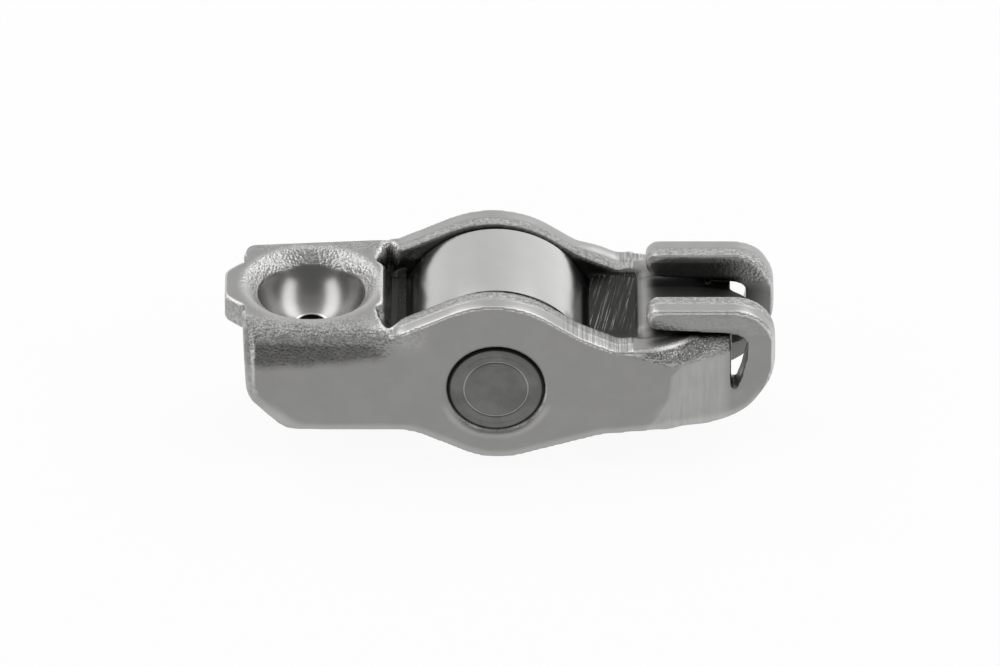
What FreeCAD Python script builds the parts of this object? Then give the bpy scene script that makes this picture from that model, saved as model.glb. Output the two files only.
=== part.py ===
import FreeCAD, Part
import math
import os
import re

import Sketcher

# Rocker arm of the roller finger kind, valve side up.
# Origin: centre of the pivot ball. X runs to the valve end, Y along the roller's axle, Z up.
# Outlines are drawn from the roller's axle, which lies ahead of the ball and below it.

# Driving sizes, in millimetres and degrees.
SIZES = {
    # main layout
    "pivot_to_axle": 16.9,
    "ball_above_axle": 7.06,
    "sheet_thickness": 2.8,
    "channel_width": 16.65,
    # roller, pin and needles
    "roller_diameter": 17.6,
    "roller_side_gap": 0.18,
    "roller_bevel": 0.28,
    "bore_bevel": 0.25,
    "pin_diameter": 8.5,
    "pin_recess": 0.12,
    "pin_flare": 0.17,
    "pin_flare_depth": 0.2,
    "stake_ring_radius": 2.88,
    "stake_ring_depth": 0.12,
    "countersink_width": 0.52,
    "needle_diameter": 1.75,
    "needle_end_gap": 0.3,
    "needle_spacing": 0.03,
    "bearing_clearance": 0.012,
    # humped side walls
    "crest_margin": 0.19,
    "crest_round": 0.5,
    "crest_offset": 0.3,
    "crest_slope_back": 24.9,
    "crest_slope_front": 34.1,
    "shoulder_height": 5.9,
    "shoulder_round": 2.5,
    "flank_break": 7.6,
    "flank_round": 6.0,
    "saddle_position": 11.3,
    "saddle_height": 3.91,
    "saddle_round": 1.4,
    "belly_margin": 0.9,
    "belly_round": 7.4,
    "belly_slope_back": 25.3,
    "belly_slope_front": 16.5,
    "skirt_depth": 4.43,
    "skirt_break": 9.6,
    "skirt_break_depth": 4.94,
    "skirt_round": 6.0,
    # channel end with the ball cup
    "end_behind_pivot": 6.2,
    "end_rake": 0.45,
    "web_height": 6.25,
    "bend_radius": 3.3,
    "inner_bend_radius": 0.6,
    "heel_height": 0.52,
    "heel_length": 3.5,
    "heel_round": 1.6,
    "ball_radius": 5.25,
    "cup_wall": 1.8,
    "cup_boss_radius": 3.3,
    "cup_boss_flare": 4.2,
    "cup_lip_radius": 0.35,
    "cup_mouth_drop": 1.0,
    "cup_dish_radius": 6.1,
    "oil_hole_diameter": 2.5,
    "oil_hole_bevel": 0.45,
    "tongue_length": 1.7,
    "tongue_tip_width": 4.1,
    "tongue_root_width": 7.8,
    "tongue_thickness": 2.6,
    "tongue_round": 0.9,
    # window for the roller
    "window_gap": 1.5,
    "window_edge_width": 6.4,
    "window_round": 0.2,
    "notch_depth": 0.7,
    "notch_width": 8.0,
    "window_flare": 1.1,
    "relief_gap": 0.4,
    "ledge_height": 4.17,
    "ledge_slope_run": 0.7,
    "ledge_slope_top": 5.5,
    "ledge_round": 0.25,
    # valve end
    "pad_height": 4.17,
    "pad_start": 12.85,
    "pad_end": 21.5,
    "pad_edge_radius": 0.55,
    "pad_bend_radius": 1.8,
    "pad_crown_radius": 40.0,
    "pad_crown_width": 7.8,
    "pad_crown_position": 16.0,
    "valley_radius": 1.2,
    "valley_depth": 0.6,
    "valley_length": 4.15,
    "valley_offset": 5.1,
    "floor_step": 0.6,
    "nose_radius": 3.0,
    "nose_reach": 2.1,
    "joggle_start": 15.8,
    "joggle_end": 20.5,
    "joggle_inset": 2.4,
    "joggle_round": 1.6,
    # stem guides
    "guide_reach": 25.5,
    "guide_tip": 13.7,
    "guide_top": 6.9,
    "guide_tip_depth": 2.03,
    "guide_root_depth": 2.45,
    "guide_tip_round": 0.9,
    "guide_shoulder_round": 3.7,
    "guide_heel_round": 5.8,
    "guide_limb": 2.56,
    "slot_bottom": 1.56,
    "slot_round": 0.9,
}

# Sizes that follow from the driving ones.
DERIVED = {
    "half_width": "channel_width / 2",
    "half_gap": "channel_width / 2 - sheet_thickness",
    "roller_radius": "roller_diameter / 2",
    "pin_radius": "pin_diameter / 2",
    "needle_radius": "needle_diameter / 2",
    "needle_circle": "pin_radius + bearing_clearance + needle_radius",
    "roller_bore": "needle_circle + needle_radius + bearing_clearance",
    "roller_half": "half_gap - roller_side_gap",
    "pin_end": "half_width - pin_recess",
    "crest_radius": "roller_radius + crest_round",
    "crest_height": "roller_radius + crest_margin",
    "crest_reach": "crest_radius / cos((crest_slope_back + crest_slope_front) / 2)",
    "crest_lean": "(crest_slope_front - crest_slope_back) / 2",
    "crest_x": "crest_reach * sin(crest_lean) - crest_offset",
    "crest_z": "crest_reach * cos(crest_lean) + crest_height - crest_radius",
    "crest_foot": "crest_x - (crest_z - shoulder_height) / tan(crest_slope_back)",
    "flank_height": "crest_z - (flank_break - crest_x) * tan(crest_slope_front)",
    "belly_depth": "roller_radius - belly_margin",
    "belly_front": "skirt_break - (belly_depth - skirt_break_depth) / tan(belly_slope_front)",
    "belly_back": "belly_front - (belly_depth - skirt_depth) / tan(belly_slope_back)",
    "skirt_front": "skirt_break + (skirt_break_depth - skirt_depth) / tan(belly_slope_front / 3)",
    "web_under": "web_height - sheet_thickness",
    "channel_back": "pivot_to_axle + end_behind_pivot",
    "window_back": "roller_radius + window_gap",
    "window_notch": "-window_back - notch_depth",
    "window_corner": "window_flare - window_back - notch_depth",
    "window_inset": "window_flare * (half_gap - notch_width / 2) / (half_width - notch_width / 2)",
    "relief_radius": "roller_radius + relief_gap",
    "pad_under": "pad_height - sheet_thickness",
    "guide_outer": "half_width - joggle_inset",
    "guide_inner": "half_gap - joggle_inset",
    "limb_joint": "guide_top - guide_shoulder_round - slot_round / 4",
    "boss_depth": "ball_radius + cup_wall",
    "cup_depth": "ball_above_axle - web_height",
    "mouth_depth": "cup_depth + cup_mouth_drop",
    "cup_lip_depth": "mouth_depth + cup_lip_radius",
    "cup_lip_reach": "sqrt(ball_radius ^ 2 - cup_lip_depth ^ 2)",
    "cup_lip_corner": "cup_lip_reach + cup_lip_radius * cup_lip_depth / cup_lip_reach",
    "tongue_shoulder": "tongue_root_width / 2 - tongue_length / 4",
    "valley_tilt": "atan(valley_depth / valley_length)",
    "reach": "2 * channel_width",
}

SIDE = FreeCAD.Rotation(FreeCAD.Vector(1, 0, 0), 90)
PLAN = FreeCAD.Rotation()
SECTION = FreeCAD.Rotation(FreeCAD.Vector(1, 1, 1), 120)
ALONG_X = FreeCAD.Rotation(FreeCAD.Vector(0, 1, 0), 90)
ALONG_Y = FreeCAD.Rotation(FreeCAD.Vector(1, 0, 0), -90)
EDGE_TOLERANCE = 0.01

doc = FreeCAD.newDocument("rocker_arm")
sheet = doc.addObject("Spreadsheet::Sheet", "Sizes")


def fill_sheet():
    """Write every driving size into the sheet, one named cell to a row."""
    for row, (name, value) in enumerate(SIZES.items(), start=1):
        sheet.set(f"A{row}", name)
        sheet.set(f"B{row}", str(value))
        sheet.setAlias(f"B{row}", name)
    doc.recompute()


def linked(words):
    """Expression in which each size name points at its cell."""

    def swap(match):
        name = match.group()
        if name in DERIVED:
            return f"({linked(DERIVED[name])})"
        if name in SIZES:
            return f"Sizes.{name}"
        return name

    return re.sub(r"[a-z_]+", swap, words)


def value(words):
    """Number that an expression gives with the sheet as it stands."""
    return float(sheet.evalExpression(linked(words)))


def bind(item, **properties):
    """Tie properties of a document object to expressions; a double underscore stands for a dot."""
    for name, words in properties.items():
        item.setExpression(name.replace("__", "."), linked(words))
    return item


def at_axle(item, rotation=PLAN, along="0", up="0"):
    """Place an object from the roller's axle, shifted along X and Z."""
    item.Placement = FreeCAD.Placement(FreeCAD.Vector(), rotation)
    bind(item, Placement__Base__x=f"pivot_to_axle + {along}", Placement__Base__z=f"{up} - ball_above_axle")
    return item


def corner_arc(before, corner, after, radius):
    """Tangent arc that rounds a corner: its two ends, its centre and whether it turns left."""
    way_in = (corner - before).normalize()
    way_out = (after - corner).normalize()
    turn = way_in.getAngle(way_out)
    left = way_in.cross(way_out).z > 0
    setback = radius * math.tan(turn / 2)
    start = corner - way_in * setback
    end = corner + way_out * setback
    side = FreeCAD.Vector(-way_in.y, way_in.x, 0) * (radius if left else -radius)
    return start, end, start + side, left


def draw_outline(sketch, corners):
    """Closed outline of straight runs, each corner placed from the sheet and rounded by its own arc.

    A corner is two coordinates and a radius, all expressions; radius "0" leaves it sharp.
    """
    points = [FreeCAD.Vector(value(u), value(v), 0) for u, v, _ in corners]
    radii = [value(radius) for _, _, radius in corners]
    rounds = {}
    for i, radius in enumerate(radii):
        if radius > 0:
            rounds[i] = corner_arc(points[i - 1], points[i], points[(i + 1) % len(points)], radius)
    lines, arcs, marks = [], {}, []
    for i, point in enumerate(points):
        following = (i + 1) % len(points)
        start = rounds[i][1] if i in rounds else point
        end = rounds[following][0] if following in rounds else points[following]
        lines.append(sketch.addGeometry(Part.LineSegment(start, end), False))
    for i, (start, end, centre, left) in rounds.items():
        first, last = (start, end) if left else (end, start)
        circle = Part.Circle(centre, FreeCAD.Vector(0, 0, 1), radii[i])
        arc = Part.ArcOfCircle(circle, circle.parameter(first), circle.parameter(last))
        arcs[i] = sketch.addGeometry(arc, False)
    for point in points:
        marks.append(sketch.addGeometry(Part.Point(point), True))
    constraints, ties = [], []

    def tie(constraint, words):
        constraints.append(constraint)
        ties.append((len(constraints) - 1, words))

    for i, (u, v, radius) in enumerate(corners):
        tie(Sketcher.Constraint("DistanceX", -1, 1, marks[i], 1, points[i].x), u)
        tie(Sketcher.Constraint("DistanceY", -1, 1, marks[i], 1, points[i].y), v)
        if i not in rounds:
            constraints.append(Sketcher.Constraint("Coincident", lines[i - 1], 2, marks[i], 1))
            constraints.append(Sketcher.Constraint("Coincident", lines[i], 1, marks[i], 1))
            continue
        first, last = (1, 2) if rounds[i][3] else (2, 1)
        constraints.append(Sketcher.Constraint("PointOnObject", marks[i], 1, lines[i - 1]))
        constraints.append(Sketcher.Constraint("PointOnObject", marks[i], 1, lines[i]))
        constraints.append(Sketcher.Constraint("Tangent", lines[i - 1], 2, arcs[i], first))
        constraints.append(Sketcher.Constraint("Tangent", arcs[i], last, lines[i], 1))
        tie(Sketcher.Constraint("Radius", arcs[i], radii[i]), radius)
    sketch.addConstraint(constraints)
    for index, words in ties:
        sketch.setExpression(f"Constraints[{index}]", linked(words))
    return sketch


def outline(name, rotation, corners):
    """Sketch of one outline, drawn from the roller's axle."""
    sketch = at_axle(doc.addObject("Sketcher::SketchObject", name), rotation)
    return draw_outline(sketch, corners)


def extruded(name, sketch, direction, forward, backward="0"):
    """Solid made by moving an outline along a direction, forward and backward."""
    body = doc.addObject("Part::Extrusion", name)
    body.Base = sketch
    body.DirMode = "Custom"
    body.Dir = FreeCAD.Vector(*direction)
    body.Solid = True
    return bind(body, LengthFwd=forward, LengthRev=backward)


def combined(kind, name, shapes):
    """Boolean of several solids."""
    result = doc.addObject(kind, name)
    result.Shapes = shapes
    result.Refine = True
    return result


def cut(name, base, tool):
    """Solid with another one taken out of it."""
    result = doc.addObject("Part::Cut", name)
    result.Base = base
    result.Tool = tool
    result.Refine = True
    return result


def mirrored(name, source):
    """Copy of a solid on the other side of the arm's middle plane."""
    copy = doc.addObject("Part::Mirroring", name)
    copy.Source = source
    copy.Normal = FreeCAD.Vector(0, 1, 0)
    return copy


def rounded(name, base, radius, wanted):
    """Fillet on the edges that a test picks."""
    doc.recompute()
    fillet = doc.addObject("Part::Fillet", name)
    fillet.Base = base
    size = value(radius)
    chosen = [i for i, edge in enumerate(base.Shape.Edges, start=1) if wanted(edge)]
    fillet.Edges = [(i, size, size) for i in chosen]
    return fillet


def near(first, second):
    """Whether two lengths are the same within the edge tolerance."""
    return abs(first - second) < EDGE_TOLERANCE


def cylinder_across(name, radius, half_length, across="0"):
    """Cylinder on the roller's axle, along Y, its middle shifted by across."""
    body = at_axle(doc.addObject("Part::Cylinder", name), ALONG_Y)
    bind(body, Placement__Base__y=f"{across} - ({half_length})")
    return bind(body, Radius=radius, Height=f"2 * ({half_length})")


def socket_channel():
    """Folded channel behind the roller: web on top, a wall down each side, heel corner cut off."""
    section = outline("channel_section", SECTION, [
        ("-half_width", "web_height", "bend_radius"),
        ("-half_width", "-roller_radius", "0"),
        ("-half_gap", "-roller_radius", "0"),
        ("-half_gap", "web_under", "inner_bend_radius"),
        ("half_gap", "web_under", "inner_bend_radius"),
        ("half_gap", "-roller_radius", "0"),
        ("half_width", "-roller_radius", "0"),
        ("half_width", "web_height", "bend_radius"),
    ])
    folded = extruded("channel_fold", section, (1, 0, 0), "0", "channel_back + end_rake")
    side = outline("channel_side", SIDE, [
        ("0", "2 * web_height", "0"),
        ("-channel_back - end_rake / 3", "2 * web_height", "0"),
        ("end_rake - channel_back", "-heel_height", "heel_round"),
        ("end_rake + heel_length - channel_back", "-skirt_depth", "heel_round"),
        ("0", "-skirt_depth", "0"),
    ])
    trimmed = combined("Part::MultiCommon", "channel_trimmed", [
        folded, extruded("channel_silhouette", side, (0, 1, 0), "half_width", "half_width"),
    ])
    window = outline("window_edge", PLAN, [
        ("-window_back", "-window_edge_width / 2", "window_round"),
        ("window_notch", "-notch_width / 2", "window_round"),
        ("window_corner", "-half_width", "0"),
        ("window_corner", "-reach", "0"),
        ("reach", "-reach", "0"),
        ("reach", "reach", "0"),
        ("window_corner", "reach", "0"),
        ("window_corner", "half_width", "0"),
        ("window_notch", "notch_width / 2", "window_round"),
        ("-window_back", "window_edge_width / 2", "window_round"),
    ])
    opening = extruded("window_opening", window, (0, 0, 1), "reach", "reach")
    return cut("socket_channel", trimmed, opening)


def window_ledge():
    """Coined step at the web's front edge, sloping down towards the roller."""
    side = outline("ledge_side", SIDE, [
        ("-window_back - 2 * notch_depth", "web_under", "0"),
        ("-window_back - 2 * notch_depth", "ledge_slope_top", "0"),
        ("-window_back", "ledge_slope_top", "0"),
        ("ledge_slope_run - window_back", "ledge_height", "ledge_round"),
        ("-ledge_height", "ledge_height", "0"),
        ("-ledge_height", "web_under", "0"),
    ])
    return extruded("window_ledge", side, (0, 1, 0), "half_gap", "half_gap")


def side_wall():
    """Near side wall from the window to the guide's limb: humped in side view, joggled inward in plan."""
    slant = "joggle_inset * sheet_thickness / (joggle_end - joggle_start) / 2"
    band = outline("wall_plan", PLAN, [
        ("window_notch + window_inset", "-half_gap", "0"),
        ("window_corner", "-half_width", "0"),
        ("joggle_start", "-half_width", "joggle_round"),
        ("joggle_end", "-guide_outer", "joggle_round"),
        ("guide_reach", "-guide_outer", "0"),
        ("guide_reach", "-guide_inner", "0"),
        (f"joggle_end - {slant}", "-guide_inner", "joggle_round"),
        (f"joggle_start - {slant}", "-half_gap", "joggle_round"),
    ])
    side = outline("wall_side", SIDE, [
        ("-channel_back", "shoulder_height", "0"),
        ("crest_foot", "shoulder_height", "shoulder_round"),
        ("crest_x", "crest_z", "crest_radius"),
        ("flank_break", "flank_height", "flank_round"),
        ("saddle_position", "saddle_height", "saddle_round"),
        ("pad_start", "pad_height", "0"),
        ("pad_start", "pad_height - pad_bend_radius", "0"),
        ("pad_end", "pad_height - pad_bend_radius", "0"),
        ("pad_end", "-slot_bottom", "0"),
        ("guide_reach - guide_limb", "pad_height / 2", "slot_round"),
        ("guide_reach - guide_limb", "limb_joint", "0"),
        ("guide_reach", "limb_joint", "0"),
        ("guide_reach", "-skirt_depth", "guide_heel_round"),
        ("skirt_front", "-skirt_depth", "skirt_round"),
        ("skirt_break", "-skirt_break_depth", "skirt_round"),
        ("belly_front", "-belly_depth", "belly_round"),
        ("belly_back", "-skirt_depth", "skirt_round"),
        ("-channel_back", "-skirt_depth", "0"),
    ])
    return combined("Part::MultiCommon", "near_wall", [
        extruded("wall_band", band, (0, 0, 1), "reach", "reach"),
        extruded("wall_silhouette", side, (0, 1, 0), "half_width", "half_width"),
    ])


def pad_crown():
    """Waste above the pad's crowned middle: what lies over a cylinder that runs across the arm."""
    slab = outline("crown_plan", PLAN, [
        ("pad_start", "-pad_crown_width / 2", "0"),
        ("guide_reach", "-pad_crown_width / 2", "0"),
        ("guide_reach", "pad_crown_width / 2", "0"),
        ("pad_start", "pad_crown_width / 2", "0"),
    ])
    top = "pad_height + valley_radius"
    bottom = "valley_radius - pad_height"
    waste = extruded("crown_slab", slab, (0, 0, 1), top, bottom)
    crown = doc.addObject("Part::Cylinder", "crown_cylinder")
    at_axle(crown, ALONG_Y, "pad_crown_position", "pad_height - pad_crown_radius")
    bind(crown, Placement__Base__y="-half_width", Radius="pad_crown_radius", Height="channel_width")
    return cut("crown_waste", waste, crown)


def pad_valley(name, side):
    """Groove beside the pad, deepest at the roller's end, side -1 near or 1 far."""
    groove = doc.addObject("Part::Cylinder", name)
    at_axle(groove, ALONG_X, "pad_start", "pad_height + valley_radius - valley_depth")
    bind(groove, Placement__Base__y=f"{side} * valley_offset")
    bind(groove, Placement__Rotation__Angle="90 deg - valley_tilt")
    return bind(groove, Radius="valley_radius", Height="2 * valley_length")


def valve_pad():
    """Web between the walls at the valve end: crowned pad, rounded nose and the lower floor behind it."""
    plan = outline("pad_plan", PLAN, [
        ("pad_start", "-half_width", "0"),
        ("joggle_start", "-half_width", "joggle_round"),
        ("joggle_end", "-guide_outer", "joggle_round"),
        ("pad_end", "-guide_outer", "0"),
        ("pad_end", "guide_outer", "0"),
        ("joggle_end", "guide_outer", "joggle_round"),
        ("joggle_start", "half_width", "joggle_round"),
        ("pad_start", "half_width", "0"),
    ])
    block = extruded("pad_block", plan, (0, 0, 1), "pad_height", "sheet_thickness - pad_height")
    top = value("pad_height - ball_above_axle")
    front = value("pivot_to_axle + pad_start")

    def on_top(edge):
        return near(edge.BoundBox.ZMin, top) and near(edge.BoundBox.ZMax, top)

    def outer_bend(edge):
        return on_top(edge) and edge.BoundBox.XLength > EDGE_TOLERANCE

    def front_edge(edge):
        return on_top(edge) and near(edge.BoundBox.XMin, front) and near(edge.BoundBox.XMax, front)

    bent = rounded("pad_bend", block, "pad_bend_radius", outer_bend)
    eased = rounded("pad_edge", bent, "pad_edge_radius", front_edge)
    nose = doc.addObject("Part::Cylinder", "pad_nose")
    at_axle(nose, PLAN, "pad_end + nose_reach - nose_radius", "pad_under")
    bind(nose, Radius="nose_radius", Height="sheet_thickness")
    plain = combined("Part::MultiFuse", "pad_with_nose", [eased, nose])
    waste = combined("Part::MultiFuse", "pad_waste", [
        pad_crown(), pad_valley("near_valley", -1), pad_valley("far_valley", 1),
    ])
    floor = outline("floor_plan", PLAN, [
        ("roller_radius / 2", "-half_gap", "0"),
        ("pad_start + pad_edge_radius", "-half_gap", "0"),
        ("pad_start + pad_edge_radius", "half_gap", "0"),
        ("roller_radius / 2", "half_gap", "0"),
    ])
    sunk = extruded("pad_floor", floor, (0, 0, 1), "pad_height - floor_step", "-pad_under")
    return [cut("valve_pad", plain, waste), sunk]


def stem_guide():
    """Near stem guide's arm: the wall's upturned end, folded back over the pad."""
    side = outline("guide_side", SIDE, [
        ("guide_reach", "limb_joint", "0"),
        ("guide_reach", "guide_top", "guide_shoulder_round"),
        ("guide_tip", "guide_top", "guide_tip_round"),
        ("guide_tip", "guide_top - guide_tip_depth", "guide_tip_round"),
        ("pad_end - slot_round", "guide_top - guide_root_depth", "0"),
        ("guide_reach - guide_limb", "guide_top - guide_root_depth - slot_round / 2", "slot_round"),
        ("guide_reach - guide_limb", "limb_joint", "0"),
    ])
    return extruded("near_guide", side, (0, 1, 0), "-guide_inner", "guide_outer")


def tongue():
    """Short tongue at the channel's back end, with a flared root."""
    plan = outline("tongue_plan", PLAN, [
        ("-channel_back - tongue_length", "-tongue_tip_width / 2", "tongue_round"),
        ("-channel_back - tongue_length / 4", "-tongue_shoulder", "tongue_round"),
        ("end_rake - channel_back", "-tongue_root_width / 2", "0"),
        ("end_rake - channel_back", "tongue_root_width / 2", "0"),
        ("-channel_back - tongue_length / 4", "tongue_shoulder", "tongue_round"),
        ("-channel_back - tongue_length", "tongue_tip_width / 2", "tongue_round"),
    ])
    return extruded("tongue", plan, (0, 0, 1), "web_height", "tongue_thickness - web_height")


def cup_boss():
    """Tapered boss that the pressed ball cup leaves under the web."""
    boss = doc.addObject("Part::Cone", "cup_boss")
    return bind(boss, Radius1="cup_boss_radius", Radius2="cup_boss_radius + cup_boss_flare",
                Height="boss_depth - cup_depth - sheet_thickness / 2", Placement__Base__z="-boss_depth")


def cup_lip():
    """Ring that rounds the cup's mouth into a shallow dish round it."""
    section = doc.addObject("Sketcher::SketchObject", "lip_section")
    section.Placement.Rotation = SIDE
    draw_outline(section, [
        ("ball_radius / 2", "cup_lip_radius - cup_depth", "0"),
        ("ball_radius / 2", "-cup_lip_depth", "0"),
        ("cup_lip_reach", "-cup_lip_depth", "0"),
        ("cup_lip_corner", "-mouth_depth", "cup_lip_radius"),
        ("cup_dish_radius", "-cup_depth", "0"),
        ("cup_dish_radius", "cup_lip_radius - cup_depth", "0"),
    ])
    ring = doc.addObject("Part::Revolution", "cup_lip")
    ring.Source = section
    ring.Axis = FreeCAD.Vector(0, 0, 1)
    ring.Angle = 360
    ring.Solid = True
    return ring


def countersink(name, side):
    """Countersink of the pin's bore in one wall, side -1 near or 1 far."""
    cone = at_axle(doc.addObject("Part::Cone", name), ALONG_Y)
    cone.Placement.Rotation = FreeCAD.Rotation(FreeCAD.Vector(1, 0, 0), -90 * side)
    bind(cone, Placement__Base__y=f"{side} * (half_width - countersink_width)")
    return bind(cone, Radius1="pin_radius", Radius2="pin_radius + countersink_width",
                Height="countersink_width")


def lever_body():
    """The whole folded sheet: channel, walls, pad and guides, then every hole."""
    near_wall = side_wall()
    near_guide = stem_guide()
    solids = [socket_channel(), window_ledge(), near_wall, mirrored("far_wall", near_wall)]
    solids += valve_pad()
    solids += [near_guide, mirrored("far_guide", near_guide), tongue(), cup_boss()]
    whole = combined("Part::MultiFuse", "folded_sheet", solids)
    ball = bind(doc.addObject("Part::Sphere", "ball_cup"), Radius="ball_radius")
    oil = doc.addObject("Part::Cylinder", "oil_hole")
    bind(oil, Radius="oil_hole_diameter / 2", Height="boss_depth")
    bind(oil, Placement__Base__z="-boss_depth - cup_wall")
    bevel = bind(doc.addObject("Part::Cone", "oil_hole_bevel"), Radius1="oil_hole_diameter / 2",
                 Radius2="oil_hole_diameter / 2 + 2 * oil_hole_bevel", Height="2 * oil_hole_bevel",
                 Placement__Base__z="-ball_radius - oil_hole_bevel / 2")
    holes = combined("Part::MultiFuse", "holes", [
        ball, cup_lip(), oil, bevel,
        cylinder_across("roller_relief", "relief_radius", "half_gap"),
        cylinder_across("pin_bore", "pin_radius", "channel_width"),
        countersink("near_countersink", -1), countersink("far_countersink", 1),
    ])
    body = cut("lever_body", whole, holes)
    body.Label = "lever_body"
    return body


def turned_body(name, corners):
    """Piece turned about the roller's axle from its half section; coordinates are radius and Y."""
    body = at_axle(doc.addObject("PartDesign::Body", name))
    body.Label = name
    sketch = body.newObject("Sketcher::SketchObject", f"{name}_section")
    plane = [item for item in body.Origin.OriginFeatures if item.Role == "XY_Plane"][0]
    sketch.AttachmentSupport = [(plane, "")]
    sketch.MapMode = "FlatFace"
    draw_outline(sketch, corners)
    turned = body.newObject("PartDesign::Revolution", f"{name}_turned")
    turned.Profile = sketch
    turned.ReferenceAxis = (sketch, ["V_Axis"])
    turned.Angle = 360
    sketch.Visibility = False
    return body


def mirrored_corners(corners):
    """The same corners at the other end of a turned piece, in running order."""
    return [(u, f"-({v})", radius) for u, v, radius in reversed(corners)]


def cam_roller():
    """Roller with bevelled edges and its bore for the needles."""
    upper = [
        ("roller_radius", "roller_half - roller_bevel", "0"),
        ("roller_radius - roller_bevel", "roller_half", "0"),
        ("roller_bore + bore_bevel", "roller_half", "0"),
        ("roller_bore", "roller_half - bore_bevel", "0"),
    ]
    return turned_body("cam_roller", mirrored_corners(upper) + upper)


def axle_pin():
    """Roller pin, flared by staking at both ends, with the stake's ring mark in each face."""
    upper = [
        ("pin_radius", "pin_end - pin_flare_depth - pin_flare", "0"),
        ("pin_radius + pin_flare", "pin_end - pin_flare_depth", "0"),
        ("pin_radius + pin_flare", "pin_end", "0"),
        ("stake_ring_radius + stake_ring_depth", "pin_end", "0"),
        ("stake_ring_radius", "pin_end - stake_ring_depth", "0"),
        ("stake_ring_radius - stake_ring_depth", "pin_end", "0"),
        ("0", "pin_end", "0"),
    ]
    return turned_body("axle_pin", mirrored_corners(upper) + upper)


def needle_count():
    """How many needles fit round the pin with their spacing."""
    step = value("2 * asin((needle_diameter + needle_spacing) / (2 * needle_circle))")
    return int(360 / step)


def needle(number, count):
    """One flat-ended needle of the full complement."""
    name = f"needle_{number:02d}"
    angle = f"{number - 1} * 360 / {count}"
    body = doc.addObject("Part::Cylinder", name)
    body.Placement = FreeCAD.Placement(FreeCAD.Vector(), ALONG_Y)
    body.Label = name
    return bind(body, Radius="needle_radius", Height="2 * (half_gap - needle_end_gap)",
                Placement__Base__x=f"pivot_to_axle + needle_circle * cos({angle})",
                Placement__Base__y="needle_end_gap - half_gap",
                Placement__Base__z=f"needle_circle * sin({angle}) - ball_above_axle")


def check(items):
    """Stop if an object of the document failed or a piece isn't one valid solid."""
    for item in doc.Objects:
        if "Invalid" in item.State or "Error" in item.State:
            raise RuntimeError(f"{item.Name} failed: {item.State}")
    for item in items:
        shape = item.Shape
        if shape.isNull() or not shape.isValid() or len(shape.Solids) != 1:
            raise RuntimeError(f"{item.Label} is not one valid solid")


def main():
    """Build every piece, check it and write its file."""
    fill_sheet()
    count = needle_count()
    pieces = [lever_body(), axle_pin(), cam_roller()]
    pieces += [needle(number, count) for number in range(1, count + 1)]
    doc.recompute()
    check(pieces)
    os.makedirs("parts", exist_ok=True)
    for piece in pieces:
        piece.Shape.exportStep(os.path.join("parts", f"{piece.Label}.step"))
        print(piece.Label, round(piece.Shape.Volume, 2), len(piece.Shape.Faces))


main()
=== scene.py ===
"""Looks of a roller rocker arm: folded steel lever, cam roller, staked pin and needles, in a plain studio.

Lengths inside the classes are millimetres in the row frame, whose origin is the pivot ball's centre:
X runs to the valve end, Y along the roller's axle, Z up. Blender's own data is in metres.
"""

import logging
import math
from dataclasses import dataclass
from enum import Enum
from functools import reduce
from types import SimpleNamespace

import bmesh
import bpy
import numpy as np
from mathutils import Matrix, Vector


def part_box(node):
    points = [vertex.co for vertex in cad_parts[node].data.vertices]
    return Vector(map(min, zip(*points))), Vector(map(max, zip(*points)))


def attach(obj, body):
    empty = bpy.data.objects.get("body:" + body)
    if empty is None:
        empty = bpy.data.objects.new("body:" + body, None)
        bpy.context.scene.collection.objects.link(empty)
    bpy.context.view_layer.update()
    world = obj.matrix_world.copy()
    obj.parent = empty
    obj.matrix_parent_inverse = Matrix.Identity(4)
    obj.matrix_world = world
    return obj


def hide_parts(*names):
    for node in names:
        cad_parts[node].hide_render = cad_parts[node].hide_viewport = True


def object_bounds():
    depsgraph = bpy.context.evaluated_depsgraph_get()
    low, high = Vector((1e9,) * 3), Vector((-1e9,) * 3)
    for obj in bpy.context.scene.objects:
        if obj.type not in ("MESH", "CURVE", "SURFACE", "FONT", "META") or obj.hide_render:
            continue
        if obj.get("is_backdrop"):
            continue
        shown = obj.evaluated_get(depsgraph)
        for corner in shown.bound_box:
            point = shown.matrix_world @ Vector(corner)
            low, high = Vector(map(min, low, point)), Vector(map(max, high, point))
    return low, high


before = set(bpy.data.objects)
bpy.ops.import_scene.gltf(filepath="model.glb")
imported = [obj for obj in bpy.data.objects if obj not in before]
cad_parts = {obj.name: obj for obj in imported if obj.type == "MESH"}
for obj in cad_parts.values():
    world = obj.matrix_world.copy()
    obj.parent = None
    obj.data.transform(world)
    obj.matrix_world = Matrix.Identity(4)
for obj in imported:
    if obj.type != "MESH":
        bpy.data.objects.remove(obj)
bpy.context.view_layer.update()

MM = 0.001
log = logging.getLogger("rocker_arm")

Triple = tuple[float, float, float]
Colour = Triple
Profile = list[tuple[float, float]]
Span = tuple[float, ...]
Measures = dict[str, np.ndarray]
INF = math.inf
VALUE = "NodeSocketFloat"
VECTOR = "NodeSocketVector"
SURFACE = {"Height": VALUE, "Tone": VALUE}


class Mark(Enum):
    """What was done to the steel at a point of the sheet, or the light and shade painted there, kept as a
    point attribute of the mesh.
    """

    CUT = "mark_cut"
    FRACTURE = "mark_fracture"
    STRIPED = "mark_striped"
    PEEL = "mark_peel"
    # Rubbed edges; on the sheet also painted highlight
    EDGE = "mark_edge"
    # Painted shade: a dark colour in recesses, gaps and creases where shade falls
    HOLLOW = "mark_painted_shade"
    CUP = "mark_cup"
    GOUGED = "mark_gouged"
    # Sideways faces of the walls: smooth ironing skin, darker in colour as painted shade
    IRONED = "mark_ironed_shaded"
    # Painted shade: a dark band along the lower part of the channel's bend
    DULL = "mark_shaded_band"
    # Painted highlight on the cup's lip and along the walls' lower edges
    LIP = "mark_lip_highlight"
    BRUSHED = "mark_brushed"
    MATT = "mark_matt"


# Meshes


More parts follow.
